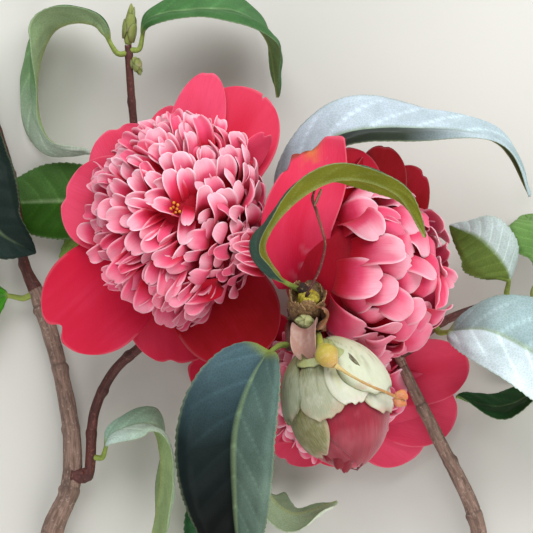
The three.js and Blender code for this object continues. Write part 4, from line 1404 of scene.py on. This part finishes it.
# Scales of the flower bud, outermost last: azimuth, start, end, half angle, lift, how far the end
# stands off, the end's share of the width, then body, margin, foot and end colours
BUD_GREEN = (182, 186, 142)
BUD_OLIVE = (110, 110, 50)
BUD_WHITE = (222, 222, 200)
BUD_TAN = (186, 150, 112)
BUD_PINK = (214, 166, 150)
BUD_SILVER = (138, 144, 104)
BUD_SCALES = (
    ((220, 10, 38, 46, 0.4, 0.2, 0.5), BUD_GREEN, BUD_TAN, BUD_OLIVE, BUD_PINK),
    ((300, 10, 36, 50, 0.5, 0.2, 0.5), BUD_GREEN, BUD_TAN, BUD_OLIVE, BUD_PINK),
    ((142, 18, 39.5, 34, 0.7, 0.4, 0.5), (140, 134, 88), (206, 186, 150), BUD_OLIVE, (186, 136, 122)),
    ((26, 12, 31, 38, 0.9, 0.6, 0.6), BUD_WHITE, (214, 196, 160), BUD_GREEN, BUD_PINK),
    ((106, 6, 27.5, 30, 1.3, 0.5, 0.55), (176, 178, 150), BUD_TAN, (108, 112, 62), (206, 196, 166)),
    ((158, 4, 25, 32, 1.5, 0.3, 0.3), (168, 174, 146), (92, 96, 38), (150, 154, 100), (104, 104, 48)),
    ((72, 4, 25, 26, 1.6, 0.4, 0.45), BUD_WHITE, (220, 216, 180), (196, 202, 130), (246, 236, 228)),
    ((205, 2, 26, 40, 1.5, 0.2, 0.4), BUD_GREEN, BUD_OLIVE, (160, 164, 100), BUD_GREEN),
    ((262, 2, 24, 46, 1.6, 0.2, 0.4), BUD_GREEN, BUD_OLIVE, (160, 164, 100), BUD_GREEN),
    ((318, 2, 24, 40, 1.7, 0.2, 0.4), BUD_GREEN, BUD_OLIVE, (160, 164, 100), BUD_GREEN),
    ((36, 0.5, 24, 46, 2.1, 0.3, 0.5), (228, 232, 204), (126, 132, 60), BUD_GREEN, BUD_WHITE),
    ((96, 0.5, 9, 46, 2.0, 0.3, 0.5), (176, 184, 116), BUD_OLIVE, (150, 158, 90), (196, 200, 140)),
)
# Tips of crimson petals that show past the bud's closed end: root, end and width
BUD_LIPS = (
    ((26, -58, 93), (21.0, -66.6, 88.0), 6.5),
    ((28, -61, 93), (24.5, -69.3, 88.0), 6.0),
    ((30, -63, 92), (26.8, -70.6, 86.0), 4.6),
    ((31, -62, 80), (28.4, -70.0, 80.0), 6.0),
)
# The slit in the bud's scale nearest to the camera: midrib, right-hand direction, width and colours
BUD_SLIT = (
    ((26.3, -28.6, 91.6), (29.2, -31.5, 94.5), (32.0, -34.4, 95.4)),
    (-0.62, -0.45, 0.42),
    1.7,
    ((92, 78, 40), (58, 44, 24), (150, 120, 80)),
)
# Wraps of the bud's rose petals: azimuth, half angle and lift over the ball
BUD_WRAPS = ((200, 84, -1.2), (20, 84, -0.9), (290, 70, -0.6), (128, 62, -0.4), (58, 58, 0.0))


def bud_ball_paint(colours):
    """Dusty rose with faint streaks, deeper at the closed end and along the edge of each wrap, with a painted highlight
    in a band near one side of each wrap.
    """
    dusty, deep, pale = (linear(c) for c in colours)

    def paint(u, share, arc, grain):
        streaks = lumps(grain * (1, 0.1, 1), 0.8, 6)
        mottling = 0.35 * lumps(grain, 7, 2) + 0.25 * lumps(grain, 2.4, 5)
        body = mix(dusty, pale, np.clip(0.16 + 0.2 * streaks + mottling, 0, 1))
        body = mix(body, deep, 0.35 * smooth(0.55, 0.95, share))
        # Painted highlight: a pale band near one side of the wrap.
        painted_highlight = np.exp(-(((u + 0.68 + 0.1 * mottling) / 0.2) ** 2)) * smooth(0.35, 0.6, share)
        body = mix(body, pale, 0.6 * painted_highlight * smooth(0.95, 0.8, share) * (0.7 + 0.5 * streaks))
        body = mix(body, deep, 0.5 * smooth(0.95, 0.985, np.abs(u)) + 0.4 * smooth(0.97, 1.0, arc))
        return body, mix(body, deep, np.full_like(share, 0.5))

    return paint


def flower_bud(silk, rosy, sizes):
    """The fat bud: rose petals folded into a ball, under overlapping silky scales."""
    frame_of = axis_frame(BUD_FOOT, BUD_TIP)
    foot, axis, first, second = frame_of
    radius_at = bud_surface(BUD_PROFILE)
    shape = Shape()
    turn = np.linspace(0, 2 * math.pi, 36, endpoint=False)
    levels = np.linspace(0.5, 46.2, 30)
    around = first * np.cos(turn)[:, None] + second * np.sin(turn)[:, None]
    radii = np.maximum(radius_at(levels) - 1.9 + 1.2 * smooth(40, 45, levels), 0.3)
    rings = foot + axis * levels[:, None, None] + around * radii[:, None, None]
    shape.tube(rings, linear((176, 56, 78)), rings, 1)
    paint = bud_ball_paint(((152, 48, 64), (120, 8, 28), (214, 134, 144)))
    for k, (azimuth, half_angle, lift) in enumerate(BUD_WRAPS):
        spec = (azimuth, 9, 46.4 + 0.1 * k, half_angle, lift, 0.0, 0.75)
        bud_scale(shape, frame_of, radius_at, spec, paint, 40 + k, sizes.petal_thickness, 1, (44, 35))
    crimson = guard_paint(((112, 2, 20), (76, 0, 10), (140, 24, 48)), 0.3)
    for k, (root, end, width) in enumerate(BUD_LIPS):
        root, end = np.array(root, float), np.array(end, float)
        spine = [root, (root + end) / 2 + second * 0.6, end]
        lip = (0.8, 0.5, 0.4, ((0.2, 0.2, 0.08),))
        petal(shape, spine, first, width, lip, (0.5, 0.6, 0.6), crimson, 70 + k, (13, 9), 0.5, 1)
    midrib, side, width, brown = BUD_SLIT
    spine = [np.array(p, float) for p in midrib]
    slit = (0.3, 0.5, 0.2, ())
    petal(shape, spine, np.array(side), width, slit, (0.1, 0.1, 0.2), guard_paint(brown, 0.5), 75, (13, 9), 0.5)
    for k, (spec, *colours) in enumerate(BUD_SCALES):
        bud_scale(shape, frame_of, radius_at, spec, scale_paint(*colours), k + 3, 0.55)
    return shape.build("flower_bud_scales", [silk, rosy], ("flower_bud",))


def leaf_bud(name, foot, tip, fat, colours, finish, seed):
    """A small pointed bud of overlapping scales."""
    frame_of = axis_frame(foot, tip)
    foot_at, axis, first, second = frame_of
    length = float(np.linalg.norm(np.array(tip, float) - np.array(foot, float)))
    profile = [(fat * r, length * y) for r, y in LEAF_BUD_PROFILE]
    radius_at = bud_surface(profile)
    shape = Shape()
    levels = np.linspace(0.02, 0.985, 16) * length
    turn = np.linspace(0, 2 * math.pi, 14, endpoint=False)
    around = first * np.cos(turn)[:, None] + second * np.sin(turn)[:, None]
    rings = foot_at + axis * levels[:, None, None] + around * (radius_at(levels) * 0.9)[:, None, None]
    body, margin, base = colours
    shape.tube(rings, linear(body), rings)
    for k in range(7):
        start = length * 0.55 * (1 - k / 7)
        end = length * (0.99 - 0.075 * k)
        spec = (137.5 * k + 40 * seed, start, end, 66, 0.06 + 0.07 * k, 0.05, 0.4)
        paint = scale_paint(body, margin, base, body)
        bud_scale(shape, frame_of, radius_at, spec, paint, seed + k, 0.16, 0, (14, 13))
    return shape.build(name + "_scales", [finish], (name,))


# A leaf bud's radius and way up, as shares of its fatness and its length
LEAF_BUD_PROFILE = ((0, 0), (0.55, 0.02), (1, 0.32), (0.8, 0.6), (0.25, 0.93), (0, 1))

# The old flower's cup: the middle of its foot and of its rim, and the radius up it
CUP_FOOT = (13.0, -19.0, 77.0)
CUP_RIM = (14.4, -8.4, 84.0)
CUP_RADII = (4.0, 5.6, 6.0, 5.6, 4.8)
CUP_BROWN = ((176, 138, 88), (128, 92, 54), (66, 44, 28), (206, 176, 120))

# Bracts: name, seat, midrib, right-hand direction, width and colours from pale to dark, then margin
BRACTS = (
    (
        "brown_bract",
        ("stalk", 2.35, (1, 0.5, 0.2)),
        ((19.5, -17.5, 83), (21.4, -15.6, 87), (19.0, -15.4, 90)),
        (0.35, -0.9, 0.1),
        9.5,
        ((120, 80, 48), (88, 52, 34), (58, 34, 24), (216, 140, 60)),
    ),
    (
        "papery_bract",
        ("stalk", 2.65, (-0.7, -0.2, 1)),
        ((13.6, -21.5, 90), (13.0, -27.5, 94), (15.0, -34.0, 93)),
        (-0.9, -0.2, -0.3),
        9.5,
        ((184, 146, 132), (140, 98, 88), (88, 56, 48), (206, 178, 150)),
    ),
)


def old_cup(dry):
    """The scaly cup that held the old flower, with what is left inside its rim."""
    cup = Shape()
    bark(cup, LIMBS["knot"], 0, 3.0, "scaly", 4)
    base, rim = np.array(CUP_FOOT), np.array(CUP_RIM)
    axis = unit(rim - base)
    depth = float(np.linalg.norm(rim - base))
    first = unit(np.cross(axis, (0, 0, 1.0)))
    second = np.cross(axis, first)
    core = [(*(base + axis * depth * k * 0.17), r * 0.85) for k, r in enumerate(CUP_RADII)]
    small_tube(cup, core, ((112, 84, 52), (140, 108, 66), (120, 92, 50)), sides=20, rings=22, wobble=0.1)
    for k in range(15):
        azimuth = k * GOLDEN_ANGLE
        ring = first * math.cos(azimuth) + second * math.sin(azimuth)
        low = depth * (0.5 - 0.5 * (k / 15))
        high = min(depth * 1.06, low + depth * 0.62)
        spine = [base + ring * 4.2 + axis * low, base + ring * 6.0 + axis * (low + high) / 2, base + ring * 5.6 + axis * high]
        across = np.cross(axis, ring)
        paint = guard_paint(CUP_BROWN, 0.15 + 0.03 * k, 0.6)
        ragged = (0.7, 0.5, 0.5, ((0.3, 0.12, 0.16), (-0.4, 0.14, 0.12)))
        petal(cup, spine, across, 6.2, ragged, (-0.25, 1.2, -0.7), paint, 200 + k, (13, 13), 0.4)
    heart = rim - axis * 1.6
    green = [(*(heart - axis * 3), 3.6), (*(heart + first * 0.6), 3.9), (*(heart + axis * 1.6 + first * 0.8), 1.6)]
    small_tube(cup, green, ((150, 140, 40), (214, 200, 60), (196, 180, 50)), sides=16, rings=14, wobble=0.05)
    dark = rim - first * 1.9 + second * 1.0
    black = [(*(dark - axis * 2), 1.6), (*dark, 2.0), (*(dark + axis * 2.2 - first * 0.6), 0.6)]
    small_tube(cup, black, ((30, 22, 22), (44, 30, 30)), sides=12, rings=12, wobble=0.25)
    cup.build("calyx_knot_scales", [dry], ("calyx_knot",))


def old_style(dry):
    """The thread-like dry style that still stands on the cup."""
    style = Shape()
    path = [(18.2, -1.0, 88.5, 0.5), (20.0, 8.0, 92, 0.45), (18.7, 13.2, 93.5, 0.5)]
    path += [(16.8, 19.4, 95.5, 0.55), (15.6, 23.0, 96.4, 0.45), (17.0, 27.6, 97, 0.32)]
    points = seat_on("knot", 3.4, (0.2, 0.3, 1), 0.5) + path
    small_tube(style, points, ((70, 40, 36), (110, 40, 46), (150, 84, 70), (84, 44, 30)), 8, 60, 0, 0.2)
    stub = [(16.4, 21.0, 96, 0.5), (18.0, 24.6, 96.6, 0.55), (18.6, 26.4, 96.8, 0.3)]
    small_tube(style, stub, ((176, 140, 110), (196, 160, 120)), sides=8, rings=10, wobble=0.15)
    style.build("dry_style_thread", [dry], ("dry_style",))


def spent_ovary(fresh):
    """The swollen green ovary over the bud, with the long style that hangs from it."""
    ovary = Shape()
    seat = seat_on("stalk", 2.75, (0.4, -0.2, 1), 1.2)
    body = [(18.6, -27.4, 95.5, 1.4), (19.6, -28.6, 97.8, 3.2), (20.4, -30, 99.6, 4.2)]
    body += [(21.6, -31.6, 101, 3.4), (23.2, -33.4, 101.6, 1.4)]
    skin = ((110, 90, 44), (120, 124, 36), (146, 154, 32), (160, 160, 44), (176, 158, 60), (196, 150, 90))
    small_tube(ovary, seat + body, skin, sides=22, rings=54, wobble=0.03)
    thread = [(23.0, -33.2, 101.5, 1.3), (24.5, -34.2, 101, 0.8), (28.9, -37.1, 101, 0.46), (35.4, -40.5, 100, 0.44)]
    thread += [(40.8, -42.8, 97, 0.5), (44.1, -44.5, 95, 0.6), (46.9, -46.2, 93, 0.7), (47.6, -47.6, 92, 0.3)]
    gold = ((206, 180, 120), (186, 150, 96), (176, 120, 70), (170, 92, 54))
    small_tube(ovary, thread, gold, sides=8, rings=50, wobble=0.15)
    for start, bend, end in OVARY_LOBES:
        spine = [np.array(p, float) for p in (start, bend, end)]
        lobe = (0.7, 0.5, 0.4, ())
        petal(ovary, spine, np.array((0.3, 0.9, 0.2)), 3.2, lobe, (0.5, 0.8, 0.3), guard_paint(LOBE_TAN, 0.2), 90, (11, 9), 0.4)
    ovary.build("spent_ovary_body", [fresh], ("spent_ovary",))


# The curled, flattened ends of the ovary's style: start, bend and end
OVARY_LOBES = (
    ((43.8, -44.2, 95), (46.4, -43.6, 95.6), (47.8, -45.0, 94)),
    ((43.8, -44.6, 95), (45.4, -46.6, 94.4), (47.6, -46.8, 93)),
)
LOBE_TAN = ((206, 116, 74), (180, 84, 50), (220, 160, 116))


def bract(name, seat, midrib, side, width, colours, dry, seed):
    """A dry, wavy bract."""
    shape = Shape()
    spine = [p[:3] for p in seat_on(*seat, 1)] + list(midrib)
    torn = (0.4, 0.5, 0.7, ((0.45, 0.26, 0.2), (-0.6, 0.16, 0.1), (-0.1, 0.12, 0.06)))
    paint = guard_paint(colours, 0.3, 0.8)
    petal(shape, spine, np.array(side, float), width, torn, (0.7, 5.0, 1.4), paint, seed, (34, 25), 0.5)
    shape.build(name + "_blade", [dry], (name,))


def number(name, default, low, high, description, subtype="NONE"):
    """A size that a user can change, in millimetres or plain counts."""
    return bpy.props.FloatProperty(name=name, default=default, min=low, max=high, description=description, subtype=subtype)


def colour_property(name, default, description):
    """A colour that a user can change."""
    return bpy.props.FloatVectorProperty(
        name=name, default=tuple(c / 255 for c in default), min=0, max=1, size=3, subtype="COLOR_GAMMA", description=description
    )


class BranchSizes(bpy.types.PropertyGroup):
    """Sizes of the small forms, in millimetres."""

    petiole: number("Leaf stalk radius", 1.05, 0.5, 2, "Radius of a leaf's stalk in millimetres")
    leaf_thickness: number("Leaf thickness", 0.7, 0.3, 1.5, "Thickness of a leaf blade in millimetres")
    tooth_pitch: number("Tooth spacing", 2.3, 1, 6, "Distance from tooth to tooth along a leaf's margin in millimetres")
    tooth_depth: number("Tooth depth", 0.5, 0, 2, "Depth of the teeth in millimetres")
    vein_pairs: number("Vein pairs", 8, 4, 14, "Side veins on each half of a leaf")
    petal_thickness: number("Petal thickness", 0.45, 0.2, 1.2, "Thickness of a petal in millimetres")


class BranchColours(bpy.types.PropertyGroup):
    """Colours of the petals."""

    coral: colour_property("Guard petal", (228, 72, 106), "Colour of a guard petal in the light")
    scarlet: colour_property("Shaded guard petal", (202, 22, 58), "Colour of a guard petal in half shade")
    crimson: colour_property("Deep guard petal", (160, 0, 10), "Colour of a guard petal in deep shade")
    rim: colour_property("Guard petal rim", (250, 166, 176), "Colour along the rim of a guard petal")
    heart: colour_property("Inner petal foot", (186, 8, 38), "Colour at the foot of an inner petal")
    rose: colour_property("Inner petal", (228, 72, 114), "Colour in the spoon of an inner petal")
    blush: colour_property("Inner petal rim", (254, 220, 230), "Colour along the rim of an inner petal")


def eight_bit(colour):
    """A property's colour as 8-bit numbers."""
    return tuple(255 * c for c in colour)


class BRANCH_OT_bark(bpy.types.Operator):
    """Makes the stems and twigs with their bark, and the cut end"""

    bl_idname = "branch.bark"
    bl_label = "Stems and twigs"

    def execute(self, context):
        finishes = {
            "old": bark_finish("old_bark", 0.85, (184, 162, 146), (92, 70, 60)),
            "young": bark_finish("young_bark", 0.55, (150, 92, 70), (52, 22, 20)),
            "scaly": bark_finish("scaly_bark", 0.8, (168, 142, 104), (60, 42, 28)),
        }
        cut = wood_finish("cut_wood")
        for k, (node, line, first, last, kind) in enumerate(STRETCHES):
            shape = Shape()
            bark(shape, LIMBS[line], first, last, kind, 3, 0, (1 if node == "main_stem" else 0, 0))
            if first == 0 and line != "left":
                collar(shape, line, ROUTES[line][0], kind, 5 + k)
            shape.build(node + "_bark", [finishes[kind], cut], (node,))
        return {"FINISHED"}


class BRANCH_OT_leaves(bpy.types.Operator):
    """Makes the leaves, with toothed margins, veins and two different sides"""

    bl_idname = "branch.leaves"
    bl_label = "Leaves"

    def execute(self, context):
        sizes = context.scene.branch_sizes
        glossy = leaf_finish("leaf_upper_side", 0.56, 0.02)
        dull = leaf_finish("leaf_under_side", 0.6, 0.02)
        for k, name in enumerate(LEAVES):
            leaf(name, [glossy, dull], sizes, k + 1)
        return {"FINISHED"}


class BRANCH_OT_blooms(bpy.types.Operator):
    """Makes the three blooms: guard petals, inner petals, calyx and stamens"""

    bl_idname = "branch.blooms"
    bl_label = "Blooms"

    def execute(self, context):
        sizes = context.scene.branch_sizes
        colours = context.scene.branch_colours
        guard = [eight_bit(c) for c in (colours.coral, colours.scarlet, colours.crimson, colours.rim)]
        inner = [eight_bit(c) for c in (colours.heart, colours.rose, colours.blush)]
        broad = petal_finish("guard_petal", 0.55, 0.0)
        spoon = petal_finish("inner_petal", 0.5, 0.1)
        green = silk_finish("calyx_scale", 0.6, (150, 156, 100))
        golden = silk_finish("stamen", 0.5, (236, 170, 60))
        for name in BLOOMS:
            inner_petals(name, spoon, sizes, inner)
            guard_petals(name, broad, sizes, guard)
            calyx(name, green, sizes)
            if BLOOMS[name]["pit"]:
                stamens(name, golden, STAMEN_COUNT)
        return {"FINISHED"}


class BRANCH_OT_flower_bud(bpy.types.Operator):
    """Makes the fat flower bud that is about to open"""

    bl_idname = "branch.flower_bud"
    bl_label = "Flower bud"

    def execute(self, context):
        silk = silk_finish("bud_silk", 0.5, (186, 192, 150))
        rosy = petal_finish("bud_petal", 0.42, 0.3)
        flower_bud(silk, rosy, context.scene.branch_sizes)
        return {"FINISHED"}


class BRANCH_OT_small_buds(bpy.types.Operator):
    """Makes the small leaf buds"""

    bl_idname = "branch.small_buds"
    bl_label = "Small buds"

    def execute(self, context):
        silk = silk_finish("leaf_bud_scale", 0.5, (110, 124, 60))
        green = ((150, 160, 84), (96, 104, 48), (120, 110, 60))
        pale = ((190, 190, 130), (120, 124, 66), (130, 126, 70))
        leaf_bud("top_bud", (-50.5, 80.6, 32), (-49, 96, 34), 2.2, green, silk, 1)
        leaf_bud("side_bud", (-48.4, 76.4, 32), (-45.8, 69.5, 33), 1.7, green, silk, 2)
        leaf_bud("small_bud", (16.2, -19.6, 83.6), (9.6, -18.4, 85.9), 2.6, pale, silk, 3)
        return {"FINISHED"}


class BRANCH_OT_old_flower(bpy.types.Operator):
    """Makes the remains of the old flower at the centre"""

    bl_idname = "branch.old_flower"
    bl_label = "Old flower"

    def execute(self, context):
        dry = bark_finish("dry_scale", 0.7, (196, 164, 116), (58, 38, 26))
        papery = silk_finish("papery_scale", 0.6, (150, 108, 84))
        fresh = silk_finish("ovary_skin", 0.38, (190, 196, 70))
        old_cup(dry)
        old_style(dry)
        spent_ovary(fresh)
        for k, row in enumerate(BRACTS):
            bract(*row, papery, 300 + k)
        return {"FINISHED"}


class BRANCH_OT_stage(bpy.types.Operator):
    """Makes the pale floor, the soft lights and the camera"""

    bl_idname = "branch.stage"
    bl_label = "Stage"

    def execute(self, context):
        scene = context.scene
        mesh = bpy.data.meshes.new("floor")
        corners = [(x * FLOOR_REACH, y * FLOOR_REACH, 0) for x, y in ((-1, -1), (1, -1), (1, 1), (-1, 1))]
        mesh.from_pydata(corners, [], [(0, 1, 2, 3)])
        mesh.materials.append(floor_finish())
        floor = bpy.data.objects.new("floor", mesh)
        scene.collection.objects.link(floor)
        world = bpy.data.worlds.new("soft_sky")
        world.use_nodes = True
        sky = world.node_tree.nodes["Background"]
        sky.inputs["Color"].default_value = SKY_TINT
        sky.inputs["Strength"].default_value = SKY_STRENGTH
        scene.world = world
        scene.view_settings.view_transform = "Standard"
        for name, place, size, power, tint in LIGHTS:
            lamp = bpy.data.lights.new(name, "AREA")
            lamp.shape = "DISK"
            lamp.size = size
            lamp.energy = power
            lamp.color = tint
            holder = bpy.data.objects.new(name, lamp)
            holder.location = place
            holder.rotation_mode = "QUATERNION"
            holder.rotation_quaternion = (Vector(LIT_PLACE) - Vector(place)).to_track_quat("-Z", "Y")
            scene.collection.objects.link(holder)
        lens = bpy.data.cameras.new("camera")
        lens.sensor_width = SENSOR
        lens.lens = SENSOR * (CAMERA_HEIGHT - FOCUS_HEIGHT) / FRAME_WIDTH
        lens.clip_start = 0.01
        camera = bpy.data.objects.new("camera", lens)
        camera.location = (-MIDDLE[0] * MM, -MIDDLE[1] * MM, CAMERA_HEIGHT)
        scene.collection.objects.link(camera)
        scene.camera = camera
        return {"FINISHED"}


# Lights: name, place, diameter, power and tint, and the place that they shine at
LIGHTS = (
    ("window", (-0.1, 1.0, 1.1), 1.1, 13.5, (0.98, 0.99, 1.0)),
    ("side_window", (0.95, 0.7, 0.85), 0.8, 8.0, (0.97, 0.99, 1.0)),
    ("fill", (0.3, -1.0, 0.9), 1.2, 9.0, (1.0, 0.98, 0.96)),
)
LIT_PLACE = (0.0, 0.05, 0.05)
SKY_TINT = (0.95, 0.97, 1.0, 1)
SKY_STRENGTH = 0.5
FLOOR_REACH = 3.0

# The camera looks straight down. The frame's width is measured at the height of the bud.
SENSOR = 36.0
CAMERA_HEIGHT = 0.97
FOCUS_HEIGHT = 0.07
FRAME_WIDTH = 0.18655


class BRANCH_PT_panel(bpy.types.Panel):
    """Lists the steps that make the branch"""

    bl_label = "Camellia branch"
    bl_idname = "BRANCH_PT_panel"
    bl_space_type = "VIEW_3D"
    bl_region_type = "UI"
    bl_category = "Branch"

    def draw(self, context):
        for group in (context.scene.branch_sizes, context.scene.branch_colours):
            for key in group.bl_rna.properties.keys():
                if key not in ("rna_type", "name"):
                    self.layout.prop(group, key)
        for step in STEPS:
            self.layout.operator(step.bl_idname)


STEPS = (
    BRANCH_OT_stage,
    BRANCH_OT_bark,
    BRANCH_OT_leaves,
    BRANCH_OT_blooms,
    BRANCH_OT_flower_bud,
    BRANCH_OT_small_buds,
    BRANCH_OT_old_flower,
)
CLASSES = (BranchSizes, BranchColours, *STEPS, BRANCH_PT_panel)


def register():
    for item in CLASSES:
        bpy.utils.register_class(item)
    bpy.types.Scene.branch_sizes = bpy.props.PointerProperty(type=BranchSizes)
    bpy.types.Scene.branch_colours = bpy.props.PointerProperty(type=BranchColours)


def unregister():
    del bpy.types.Scene.branch_colours
    del bpy.types.Scene.branch_sizes
    for item in reversed(CLASSES):
        bpy.utils.unregister_class(item)


def main():
    register()
    for step in STEPS:
        group, action = step.bl_idname.split(".")
        getattr(getattr(bpy.ops, group), action)()


if __name__ == "__main__":
    main()
